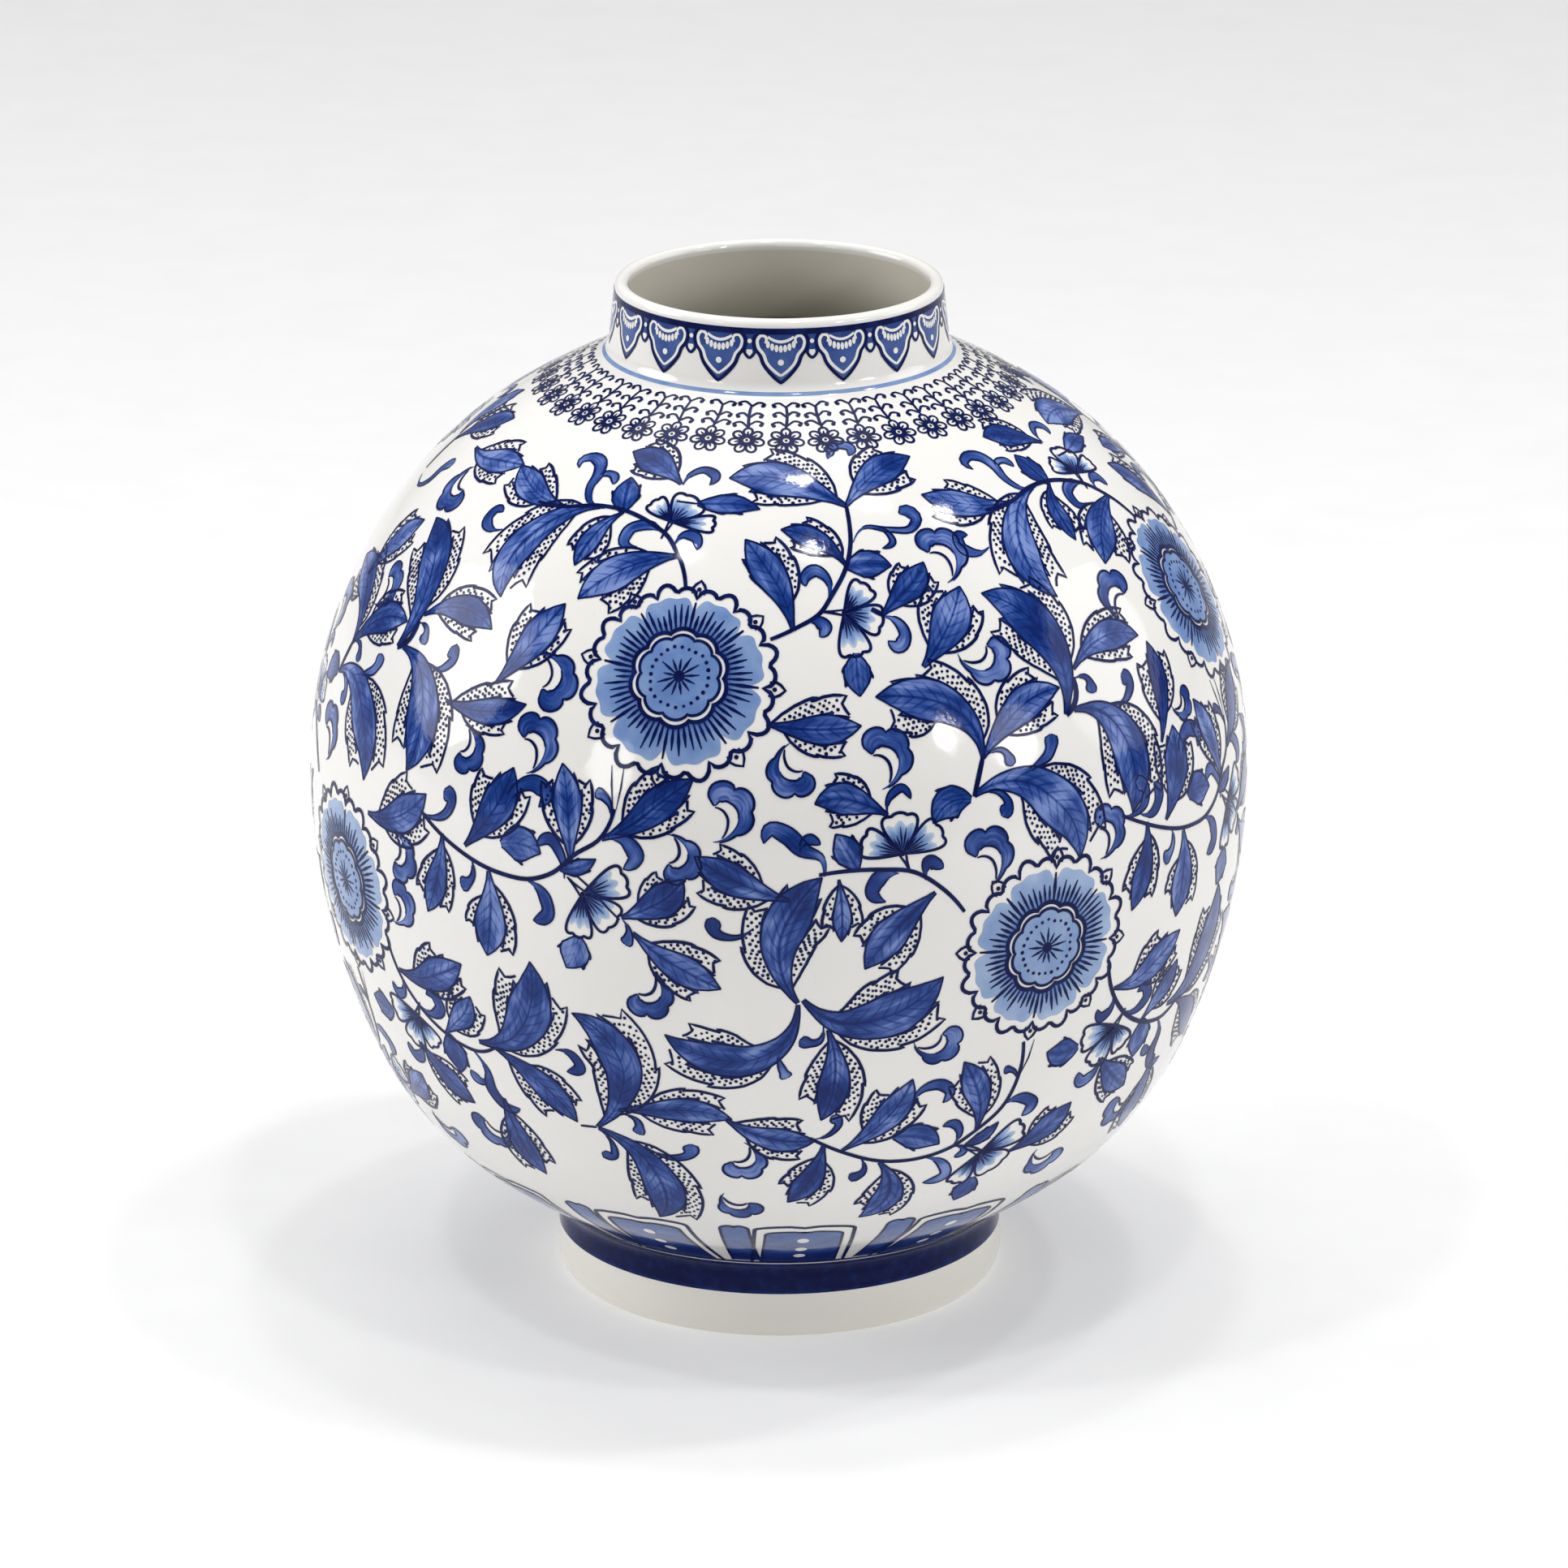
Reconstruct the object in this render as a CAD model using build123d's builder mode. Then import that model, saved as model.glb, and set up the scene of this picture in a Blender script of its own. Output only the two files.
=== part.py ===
from build123d import *
from math import cos, radians, sin, sqrt
import os

# Porcelain globe vase, made as four clay sections luted together with slip:
# foot ring, lower bowl, upper dome and neck collar. Millimetres, +Z up,
# origin at the centre of the circle that the foot stands on.

# Globe: one half of its outline, drawn as arcs that run tangent into each other
globe_radius = 150.0
belly_height = 169.5
shoulder_arcs = [(148.0, 37.0), (131.0, 61.0), (520.0, 90.0)]
under_arcs = [(210.0, 24.5), (100.0, 54.5), (590.0, 90.0)]
wall = 6.5

# Foot ring
foot_radius = 71.9
foot_swell = 0.7
foot_swell_height = 7.5
foot_base_radius = 69.9
foot_base_round = 2.0
foot_base_tuck = 0.5
foot_groove_height = 15.0
foot_cove = 8.0
foot_inner_radius = 61.0
foot_inner_flare = 1.5
foot_rim_chamfer = 0.8

# Floor of the bowl: a disc that drops inside the foot ring and centres it
floor_underside = 21.0
floor_thickness = 7.0
floor_corner_radius = 16.0

# Neck collar
neck_bottom_radius = 53.5
neck_top_radius = 51.7
neck_cove = 6.0
neck_bore_radius = 47.5
neck_inner_round = 2.0
vase_height = 329.8

# Slip rings: each fills a groove scored across one luted face
slip_thickness = 1.6
slip_edge_margin = 1.8

# How near its height an edge must lie to be picked for rounding
pick_margin = 0.01


def arc_chain(arcs, side):
    """Centre, radius, start and end angle of each tangent arc, from the belly
    up (side 1) or down (side -1). Angles are from the outward radial line."""
    chain = []
    centre_r = globe_radius - arcs[0][0]
    centre_z = 0.0
    start = 0.0
    last_radius = arcs[0][0]
    for radius, end in arcs:
        centre_r += (last_radius - radius) * cos(radians(start))
        centre_z += (last_radius - radius) * sin(radians(start))
        chain.append((centre_r, belly_height + side * centre_z, radius, start, end))
        start = end
        last_radius = radius
    return chain


shoulder = arc_chain(shoulder_arcs, 1)
under = arc_chain(under_arcs, -1)


def height_at(arc, radius_at, side, inset=0.0):
    """Height of an arc, inset by the wall where asked, at a given radius."""
    centre_r, centre_z, radius = arc[:3]
    reach = radius - inset
    return centre_z + side * sqrt(reach**2 - (radius_at - centre_r) ** 2)


def cove_on_arc(arc, wall_radius, cove, side):
    """A cove outside a vertical wall, tangent to it and to an arc of the
    globe: its centre, and the point where it touches the arc."""
    centre_r, centre_z, radius = arc[:3]
    cove_r = wall_radius + cove
    reach = radius + cove
    cove_z = centre_z + side * sqrt(reach**2 - (cove_r - centre_r) ** 2)
    share = radius / reach
    touch_r = centre_r + (cove_r - centre_r) * share
    touch_z = centre_z + (cove_z - centre_z) * share
    return cove_r, cove_z, touch_r, touch_z


def arc_between(first, last, centre, radius):
    """An arc from first to last about a centre, by way of its middle."""
    mid_r = (first[0] + last[0]) / 2 - centre[0]
    mid_z = (first[1] + last[1]) / 2 - centre[1]
    scale = radius / sqrt(mid_r**2 + mid_z**2)
    middle = (centre[0] + mid_r * scale, centre[1] + mid_z * scale)
    return ThreePointArc(first, middle, last)


def chain_lines(chain, side, inset, last_point):
    """The tangent arcs of one half of the globe, ending at last_point."""
    point = (globe_radius - inset, belly_height)
    for index, (centre_r, centre_z, radius, start, end) in enumerate(chain):
        reach = radius - inset
        if index == len(chain) - 1:
            end_point = last_point
        else:
            end_point = (
                centre_r + reach * cos(radians(end)),
                centre_z + side * reach * sin(radians(end)),
            )
        arc_between(point, end_point, (centre_r, centre_z), reach)
        point = end_point


# Where the coves of the foot and the neck run out on the globe: the luted joints
foot_cove_r, foot_cove_z, foot_joint_r, foot_joint_z = cove_on_arc(
    under[-1], foot_radius, foot_cove, -1
)
neck_cove_r, neck_cove_z, neck_joint_r, neck_joint_z = cove_on_arc(
    shoulder[-1], neck_bottom_radius, neck_cove, 1
)


def slip_ring(inner_face, outer_face, joint_height):
    """A thin ring of slip, half of it in each of the two faces it joins, clear
    of their edges."""
    with Locations((0, 0, joint_height)):
        Cylinder(outer_face - slip_edge_margin, slip_thickness)
        Cylinder(inner_face + slip_edge_margin, slip_thickness, mode=Mode.SUBTRACT)


# Slip rings
with BuildPart() as foot_luting_slip:
    slip_ring(foot_inner_radius, foot_joint_r, foot_joint_z)

with BuildPart() as belly_luting_slip:
    slip_ring(globe_radius - wall, globe_radius, belly_height)

with BuildPart() as neck_luting_slip:
    slip_ring(neck_bore_radius, neck_joint_r, neck_joint_z)

# Foot ring: swelling wall, groove under the painted band, cove up to the bowl
with BuildPart() as foot_ring:
    with BuildSketch(Plane.XZ):
        with BuildLine():
            base_edge = (foot_base_radius, 0)
            swell = (foot_radius + foot_swell, foot_swell_height)
            groove = (foot_radius, foot_groove_height)
            Line((foot_inner_radius + foot_inner_flare, 0), base_edge)
            ThreePointArc(
                base_edge,
                (foot_radius - foot_base_tuck, foot_base_round),
                swell,
            )
            Spline(swell, groove, tangents=((0, 1), (0, 1)))
            Line(groove, (foot_radius, foot_cove_z))
            arc_between(
                (foot_radius, foot_cove_z),
                (foot_joint_r, foot_joint_z),
                (foot_cove_r, foot_cove_z),
                foot_cove,
            )
            Line((foot_joint_r, foot_joint_z), (foot_inner_radius, foot_joint_z))
            Line((foot_inner_radius, foot_joint_z), (foot_inner_radius, floor_underside))
            Line((foot_inner_radius, floor_underside), (foot_inner_radius + foot_inner_flare, 0))
        make_face()
    revolve(axis=Axis.Z)
    standing_edges = foot_ring.edges().filter_by(GeomType.CIRCLE).group_by(Axis.Z)[0]
    chamfer(standing_edges.sort_by(SortBy.RADIUS)[0], foot_rim_chamfer)
    add(foot_luting_slip.part, mode=Mode.SUBTRACT)

# Lower bowl: from the belly joint down to the floor disc inside the foot ring
with BuildPart() as lower_bowl:
    floor_top = floor_underside + floor_thickness
    inner_centre_r, inner_centre_z, inner_radius = under[-1][:3]
    drop = inner_centre_z - floor_top
    floor_meets_wall = inner_centre_r + sqrt((inner_radius - wall) ** 2 - drop**2)
    with BuildSketch(Plane.XZ):
        with BuildLine():
            chain_lines(under, -1, 0.0, (foot_joint_r, foot_joint_z))
            Line((foot_joint_r, foot_joint_z), (foot_inner_radius, foot_joint_z))
            Line((foot_inner_radius, foot_joint_z), (foot_inner_radius, floor_underside))
            Line((foot_inner_radius, floor_underside), (0, floor_underside))
            Line((0, floor_underside), (0, floor_top))
            Line((0, floor_top), (floor_meets_wall, floor_top))
            chain_lines(under, -1, wall, (floor_meets_wall, floor_top))
            Line((globe_radius - wall, belly_height), (globe_radius, belly_height))
        make_face()
    revolve(axis=Axis.Z)
    inside_corner = (
        lower_bowl.edges()
        .filter_by(GeomType.CIRCLE)
        .filter_by_position(Axis.Z, floor_top - pick_margin, floor_top + pick_margin)
    )
    fillet(inside_corner, floor_corner_radius)
    add(foot_luting_slip.part, mode=Mode.SUBTRACT)
    add(belly_luting_slip.part, mode=Mode.SUBTRACT)

# Upper dome: from the belly joint up to the opening under the neck
with BuildPart() as upper_dome:
    dome_inner_z = height_at(shoulder[-1], neck_bore_radius, 1, wall)
    with BuildSketch(Plane.XZ):
        with BuildLine():
            chain_lines(shoulder, 1, 0.0, (neck_joint_r, neck_joint_z))
            Line((neck_joint_r, neck_joint_z), (neck_bore_radius, neck_joint_z))
            Line((neck_bore_radius, neck_joint_z), (neck_bore_radius, dome_inner_z))
            chain_lines(shoulder, 1, wall, (neck_bore_radius, dome_inner_z))
            Line((globe_radius - wall, belly_height), (globe_radius, belly_height))
        make_face()
    revolve(axis=Axis.Z)
    inside_mouth = (
        upper_dome.edges()
        .filter_by(GeomType.CIRCLE)
        .filter_by_position(Axis.Z, dome_inner_z - pick_margin, dome_inner_z + pick_margin)
    )
    fillet(inside_mouth, neck_inner_round)
    add(belly_luting_slip.part, mode=Mode.SUBTRACT)
    add(neck_luting_slip.part, mode=Mode.SUBTRACT)

# Neck collar: cove, leaning wall and a full-round lip about a straight bore
with BuildPart() as neck_collar:
    lip_radius = (neck_top_radius - neck_bore_radius) / 2
    lip_z = vase_height - lip_radius
    with BuildSketch(Plane.XZ):
        with BuildLine():
            Line((neck_bore_radius, neck_joint_z), (neck_joint_r, neck_joint_z))
            arc_between(
                (neck_joint_r, neck_joint_z),
                (neck_bottom_radius, neck_cove_z),
                (neck_cove_r, neck_cove_z),
                neck_cove,
            )
            Line((neck_bottom_radius, neck_cove_z), (neck_top_radius, lip_z))
            arc_between(
                (neck_top_radius, lip_z),
                (neck_bore_radius + lip_radius, vase_height),
                (neck_bore_radius + lip_radius, lip_z),
                lip_radius,
            )
            arc_between(
                (neck_bore_radius + lip_radius, vase_height),
                (neck_bore_radius, lip_z),
                (neck_bore_radius + lip_radius, lip_z),
                lip_radius,
            )
            Line((neck_bore_radius, lip_z), (neck_bore_radius, neck_joint_z))
        make_face()
    revolve(axis=Axis.Z)
    add(neck_luting_slip.part, mode=Mode.SUBTRACT)

print("mouth bore wall from", dome_inner_z + neck_inner_round, "to", lip_z)

# One STEP per section and per slip ring
os.makedirs("parts", exist_ok=True)

foot_ring.part.label = "foot_ring"
export_step(foot_ring.part, "parts/foot_ring.step")

foot_luting_slip.part.label = "foot_luting_slip"
export_step(foot_luting_slip.part, "parts/foot_luting_slip.step")

lower_bowl.part.label = "lower_bowl"
export_step(lower_bowl.part, "parts/lower_bowl.step")

belly_luting_slip.part.label = "belly_luting_slip"
export_step(belly_luting_slip.part, "parts/belly_luting_slip.step")

upper_dome.part.label = "upper_dome"
export_step(upper_dome.part, "parts/upper_dome.step")

neck_luting_slip.part.label = "neck_luting_slip"
export_step(neck_luting_slip.part, "parts/neck_luting_slip.step")

neck_collar.part.label = "neck_collar"
export_step(neck_collar.part, "parts/neck_collar.step")
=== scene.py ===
"""Blue and white porcelain globe vase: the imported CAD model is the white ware, and
the underglaze painting is laid on it as thin patches of paint that follow its
surface. Places in the painting are in degrees: longitude round the vase (0 at the
front, positive to +X) and latitude, which runs up the outline at the same scale."""
from math import atan2, cos, degrees, pi, radians, sin, sqrt, tau

import bpy
import numpy as np
from mathutils import Euler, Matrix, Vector


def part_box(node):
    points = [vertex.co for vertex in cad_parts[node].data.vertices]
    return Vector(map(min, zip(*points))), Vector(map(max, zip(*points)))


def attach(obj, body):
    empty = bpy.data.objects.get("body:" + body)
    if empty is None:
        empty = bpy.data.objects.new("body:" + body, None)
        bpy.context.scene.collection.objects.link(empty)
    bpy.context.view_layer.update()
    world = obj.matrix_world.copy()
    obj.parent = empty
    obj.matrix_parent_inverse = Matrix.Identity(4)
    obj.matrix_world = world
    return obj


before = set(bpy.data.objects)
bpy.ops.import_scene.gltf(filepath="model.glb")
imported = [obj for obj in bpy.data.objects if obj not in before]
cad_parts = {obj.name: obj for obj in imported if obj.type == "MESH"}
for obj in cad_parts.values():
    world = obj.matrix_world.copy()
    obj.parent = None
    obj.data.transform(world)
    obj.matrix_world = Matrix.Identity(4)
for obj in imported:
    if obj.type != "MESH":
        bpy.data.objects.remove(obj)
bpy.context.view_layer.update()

rng = np.random.default_rng(7)

# ---------------------------------------------------------------- driving values
# Borders: heights on the outside of the ware in millimetres
NECK_BORDER = 325.6
NECK_BORDER_LINE = (325.3, 327.2)
NECK_RING = (306.7, 307.7)
FOOT_LINE = (27.6, 28.9)
FOOT_BAND = (15.1, 26.6)
LAPPET_FOOT_HEIGHT = 28.0

# How many of each border motif go round, and the longitude of the first
GARLANDS, FIRST_GARLAND = 38, 1.7
LAPPETS, FIRST_LAPPET = 13, 4.2
NECK_PANELS, FIRST_PANEL = 17, 0.6

# How far each spray's copies lie round the vase, in degrees; the side spray's
# also rise by the second number. The upper spray turns less the higher it goes.
UPPER_COPIES = (0, 1, 2)
UPPER_TURN = ([5, 30, 50, 65], [93, 87.4, 84, 83.5])
SIDE_COPIES = ((0, 0.0), (90, 1.0), (181, 2.0))
SIDE_PART_COPY = (-98, 4.0)
LOWER_COPIES = (0, -99, 99)
LOWER_PART_COPY = 198

# Studio: metres, degrees and, for the lamps, direction from the vase, distance,
# width and height, and radiance
FLOOR_SIZE = 12
CAMERA_PLACE = (0, -2.2797, 0.9261)
CAMERA_DOWN = 18.526
CAMERA_TURN = -0.039
CAMERA_LENS = 171.93
WORLD_LIGHT = 0.30
LAMPS = {
    "key_window": ((0.63, -0.69, 0.36), 3.0, (0.28, 0.36), 42),
    "side_window": ((0.84, -0.48, 0.25), 3.0, (0.62, 0.62), 7),
    "left_window": ((-0.64, -0.73, 0.24), 3.0, (0.55, 0.70), 5),
    "left_wall": ((-0.93, 0.02, 0.36), 2.6, (1.6, 1.6), 5.2),
    "right_wall": ((0.95, 0.10, 0.30), 2.6, (1.6, 1.6), 1.8),
    "ceiling": ((-0.1, 0.35, 0.94), 2.6, (2.0, 1.6), 2.2),
}
CEILING_LAMPS = [
    (0.29, 0.0, 0.96), (0.12, -0.30, 0.95), (0.50, 0.06, 0.86), (0.06, 0.10, 1.0), (-0.32, -0.25, 0.91),
]
CEILING_LAMP_REACH, CEILING_LAMP_SIZE, CEILING_LAMP_RADIANCE = 2.4, 0.16, 122

# ---------------------------------------------------------------- outline of the ware
# Millimetres, as in the CAD part: arcs of the globe are (radius, end angle), each
# running tangent into the next, from the belly up and from the belly down.
GLOBE_RADIUS = 150.0
BELLY_HEIGHT = 169.5
SHOULDER_ARCS = [(148.0, 37.0), (131.0, 61.0), (520.0, 90.0)]
UNDER_ARCS = [(210.0, 24.5), (100.0, 54.5), (590.0, 90.0)]
FOOT_GROOVE_HEIGHT = 15.0
FOOT_RADIUS = 71.9
FOOT_COVE = 8.0
NECK_BOTTOM_RADIUS = 53.5
NECK_TOP_RADIUS = 51.7
NECK_COVE = 6.0
NECK_BORE_RADIUS = 47.5
LIP_RADIUS = (NECK_TOP_RADIUS - NECK_BORE_RADIUS) / 2
LIP_CENTRE = (NECK_BORE_RADIUS + LIP_RADIUS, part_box("neck_collar")[1].z * 1000 - LIP_RADIUS)
OUTLINE_STEP = 0.6


def arc(centre, radius, start, end, facing=1):
    """Points and outward normals along an arc of the outline."""
    count = int(abs(radians(end - start)) * radius / OUTLINE_STEP) + 2
    angle = np.radians(np.linspace(start, end, count))
    direction = np.stack([np.cos(angle), np.sin(angle)], 1)
    return np.array(centre) + radius * direction, facing * direction


def straight(first, last):
    """Points and outward normals along a straight stretch of the outline."""
    first, last = np.array(first), np.array(last)
    length = np.linalg.norm(last - first)
    share = np.linspace(0, 1, int(length / OUTLINE_STEP) + 2)[:, None]
    along = (last - first) / length
    normal = np.array([along[1], -along[0]])
    return first + (last - first) * share, np.tile(normal, (len(share), 1))


def chain_centres(arcs, side):
    """Centre, radius, start and end angle of each tangent arc of half the globe."""
    centre = np.array([GLOBE_RADIUS - arcs[0][0], BELLY_HEIGHT])
    last_radius, start = arcs[0][0], 0.0
    for radius, end in arcs:
        turn = np.array([cos(radians(start)), side * sin(radians(start))])
        centre = centre + (last_radius - radius) * turn
        yield centre, radius, start, end
        last_radius, start = radius, end


def cove(last_arc, wall_radius, radius, side):
    """Centre of a cove tangent to the wall and to the globe's last arc, and the
    direction from that arc's centre to it, in degrees."""
    centre, reach = last_arc[0], last_arc[1] + radius
    across = wall_radius + radius - centre[0]
    rise = sqrt(reach**2 - across**2)
    return (wall_radius + radius, centre[1] + side * rise), degrees(atan2(rise, across))


def outline():
    """The outside of the ware from the foot's groove to the top of the lip."""
    under = list(chain_centres(UNDER_ARCS, -1))
    shoulder = list(chain_centres(SHOULDER_ARCS, 1))
    foot_cove, foot_end = cove(under[-1], FOOT_RADIUS, FOOT_COVE, -1)
    neck_cove, neck_end = cove(shoulder[-1], NECK_BOTTOM_RADIUS, NECK_COVE, 1)
    stretches = [
        straight((FOOT_RADIUS, FOOT_GROOVE_HEIGHT), (FOOT_RADIUS, foot_cove[1])),
        arc(foot_cove, FOOT_COVE, 180, 180 - foot_end, -1),
        arc(*under[-1][:2], -foot_end, -under[-1][2]),
    ]
    for centre, radius, start, end in reversed(under[:-1]):
        stretches.append(arc(centre, radius, -end, -start))
    for centre, radius, start, end in shoulder[:-1]:
        stretches.append(arc(centre, radius, start, end))
    stretches += [
        arc(*shoulder[-1][:2], shoulder[-1][2], neck_end),
        arc(neck_cove, NECK_COVE, 180 + neck_end, 180, -1),
        straight((NECK_BOTTOM_RADIUS, neck_cove[1]), (NECK_TOP_RADIUS, LIP_CENTRE[1])),
        arc(LIP_CENTRE, LIP_RADIUS, 0, 90),
    ]
    points = np.concatenate([p for p, n in stretches])
    normals = np.concatenate([n for p, n in stretches])
    step = np.linalg.norm(np.diff(points, axis=0), axis=1)
    keep = np.concatenate([[True], step > 1e-6])
    return points[keep], normals[keep]


OUTLINE, OUTLINE_NORMAL = outline()
_steps = np.linalg.norm(np.diff(OUTLINE, axis=0), axis=1)
_radii = (OUTLINE[1:, 0] + OUTLINE[:-1, 0]) / 2
LATITUDE = np.concatenate([[0], np.cumsum(np.degrees(_steps / _radii))])
LATITUDE = LATITUDE - np.interp(BELLY_HEIGHT, OUTLINE[:, 1], LATITUDE)


def latitude(height):
    """Latitude of a height on the outside of the ware."""
    return float(np.interp(height, OUTLINE[:, 1], LATITUDE))


def scale_at(lat):
    """Millimetres in one degree at a latitude, the same along and across."""
    return np.radians(np.interp(lat, LATITUDE, OUTLINE[:, 0]))


def on_ware(places, lift):
    """Points in metres and unit normals for places on the ware, lifted by mm."""
    lon, lat = np.radians(places[:, 0]), places[:, 1]
    n_r = np.interp(lat, LATITUDE, OUTLINE_NORMAL[:, 0])
    n_z = np.interp(lat, LATITUDE, OUTLINE_NORMAL[:, 1])
    size = np.hypot(n_r, n_z)
    n_r, n_z = n_r / size, n_z / size
    r = np.interp(lat, LATITUDE, OUTLINE[:, 0]) + lift * n_r
    z = np.interp(lat, LATITUDE, OUTLINE[:, 1]) + lift * n_z
    points = np.stack([r * np.sin(lon), -r * np.cos(lon), z], 1) / 1000
    normals = np.stack([n_r * np.sin(lon), -n_r * np.cos(lon), n_z], 1)
    return points, normals


# ---------------------------------------------------------------- layers of paint
class Layer:
    """Patches of one paint, gathered into one piece that rides on the vase."""

    def __init__(self, name, lift):
        self.name = name
        self.lift = lift
        self.places, self.marks, self.quads = [], [], []
        self.count = 0

    def patch(self, places, along, across, half, tone, vein):
        """A grid of places, rows by columns, with its marks for the shader."""
        rows, cols = places.shape[:2]
        index = self.count + np.arange(rows * cols).reshape(rows, cols)
        quads = [index[:-1, :-1], index[:-1, 1:], index[1:, 1:], index[1:, :-1]]
        a = places[1:, :-1] - places[:-1, 1:]
        b = places[1:, 1:] - places[:-1, :-1]
        if np.sum(a[..., 0] * b[..., 1] - a[..., 1] * b[..., 0]) > 0:
            quads.reverse()
        self.quads.append(np.stack(quads, -1).reshape(-1, 4))
        self.places.append(places.reshape(-1, 2))
        values = [along, across, half, tone, vein]
        self.marks.append(np.stack([np.broadcast_to(m, (rows, cols)).ravel() for m in values], 1))
        self.count += rows * cols

    def dots(self, places, radii, tone):
        """Small round dots, eight-sided, all at once."""
        angle = np.arange(8) * tau / 8
        ring = np.stack([np.cos(angle), np.sin(angle)], 1)
        size = (radii / scale_at(places[:, 1]))[:, None, None]
        points = places[:, None, :] + ring[None] * size
        index = self.count + np.arange(len(places) * 8).reshape(-1, 8)
        for corners in ((0, 1, 2, 3), (0, 3, 4, 7), (4, 5, 6, 7)):
            self.quads.append(index[:, corners])
        self.places.append(points.reshape(-1, 2))
        marks = np.zeros((len(places) * 8, 5))
        marks[:, 2] = np.repeat(radii, 8)
        marks[:, 3] = tone
        self.marks.append(marks)
        self.count += len(places) * 8

    def build(self, material, slot):
        """The layer as a mesh object with the ware's own normals."""
        places = np.concatenate(self.places)
        quads = np.concatenate(self.quads)
        marks = np.concatenate(self.marks)
        points, normals = on_ware(places, self.lift)
        mesh = bpy.data.meshes.new(self.name)
        mesh.vertices.add(len(points))
        mesh.vertices.foreach_set("co", points.astype(np.float32).ravel())
        mesh.loops.add(quads.size)
        mesh.loops.foreach_set("vertex_index", quads.astype(np.int32).ravel())
        mesh.polygons.add(len(quads))
        mesh.polygons.foreach_set("loop_start", np.arange(0, quads.size, 4, dtype=np.int32))
        mesh.polygons.foreach_set("use_smooth", np.ones(len(quads), dtype=bool))
        mesh.update(calc_edges=True)
        for index, name in enumerate(("along", "across", "half", "tone", "vein")):
            attribute = mesh.attributes.new(name, "FLOAT", "POINT")
            attribute.data.foreach_set("value", marks[:, index].astype(np.float32))
        mesh.normals_split_custom_set_from_vertices(normals.tolist())
        piece = bpy.data.objects.new(self.name, mesh)
        bpy.context.scene.collection.objects.link(piece)
        piece.data.materials.append(material)
        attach(piece, "root")


WASH = Layer("pale_blue_wash", 0.05)
COBALT = Layer("cobalt_brushwork", 0.08)
RESERVE = Layer("white_reserves", 0.11)
LINE = Layer("dark_blue_linework", 0.14)
DOTS = Layer("stipple_dots", 0.14)


# ---------------------------------------------------------------- drawing on a sheet
def smooth(points, count):
    """A smooth path through the points, with its unit normals to the left."""
    points = np.array(points, float)
    if len(points) == 2:
        middle = points.mean(0)
        points = np.array([points[0], middle, points[1]])
    chord = np.linalg.norm(np.diff(points, axis=0), axis=1)
    knots = np.concatenate([[0], np.cumsum(chord)])
    slope = np.gradient(points, knots, axis=0, edge_order=2)
    t = np.linspace(0, knots[-1], count)
    span = np.clip(np.searchsorted(knots, t, side="right") - 1, 0, len(chord) - 1)
    width = chord[span]
    h = ((t - knots[span]) / width)[:, None]
    width = width[:, None]
    path = (
        (2 * h**3 - 3 * h**2 + 1) * points[span]
        + (h**3 - 2 * h**2 + h) * width * slope[span]
        + (-2 * h**3 + 3 * h**2) * points[span + 1]
        + (h**3 - h**2) * width * slope[span + 1]
    )
    return path, left_normals(path)


def left_normals(path, closed=False):
    """Unit normals to the left of a path."""
    if closed:
        tangent = np.roll(path[:-1], -1, 0) - np.roll(path[:-1], 1, 0)
        tangent = np.concatenate([tangent, tangent[:1]])
    else:
        tangent = np.gradient(path, axis=0)
    tangent = tangent / np.maximum(np.linalg.norm(tangent, axis=1), 1e-9)[:, None]
    return np.stack([-tangent[:, 1], tangent[:, 0]], 1)


# A leaf's edge from stalk to tip, as (share of its length, share of its half
# width), then the barbs on one side and on the other, as (where its tip is along
# the leaf, how far out it stands, how far it leans on), in shares of the same.
LEAF_EDGE = [
    (0, 0.08), (0.1, 0.19), (0.25, 0.46), (0.42, 0.80), (0.56, 0.99),
    (0.66, 1.0), (0.78, 0.82), (0.9, 0.44), (1, 0),
]
LEAF_BARBS = ([(0.70, 0.14, 0.02), (0.86, 0.12, 0.03)], [(0.62, 0.12, 0.02), (0.80, 0.16, 0.03)])
BUD_EDGE = [(0, 0.16), (0.15, 0.58), (0.35, 0.98), (0.55, 1.0), (0.7, 0.82), (0.85, 0.46), (1, 0)]
BUD_BARBS = ([(0.56, 0.2, 0.04)], [(0.42, 0.14, 0.03), (0.72, 0.2, 0.04)])
BARB_LENGTH = 0.16
# The free edge of a fold, as (share along it, how far out, how far on)
FLAP_EDGE = [
    (0, 0, 0), (0.12, 0.46, 0), (0.28, 0.82, 0), (0.42, 1.0, 0.01), (0.54, 1.12, 0.05),
    (0.545, 0.88, 0), (0.68, 1.0, 0.01), (0.80, 1.06, 0.03), (0.90, 1.04, 0.10),
    (0.905, 0.62, 0.02), (0.96, 0.3, 0), (1, 0.05, 0),
]
# Strength of the paint in lines and dots
LINE_TONE = 0.5

# Spacing of the stippled dots and the clear margin round them, millimetres
DOT_PITCH = 1.75
DOT_MARGIN = 1.05

# Share of a brush stroke's full width along its length
STROKES = {
    "comma": ([0, 0.2, 0.45, 0.7, 0.88, 0.97, 1], [0.12, 0.42, 0.85, 1.0, 0.78, 0.35, 0.02]),
    "bone": ([0, 0.3, 0.6, 0.75, 0.88, 0.97, 1], [0.1, 0.3, 0.62, 0.78, 1.15, 0.95, 0.1]),
    "crescent": ([0, 0.15, 0.4, 0.6, 0.85, 1], [0.05, 0.55, 1.0, 1.0, 0.6, 0.05]),
}

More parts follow.
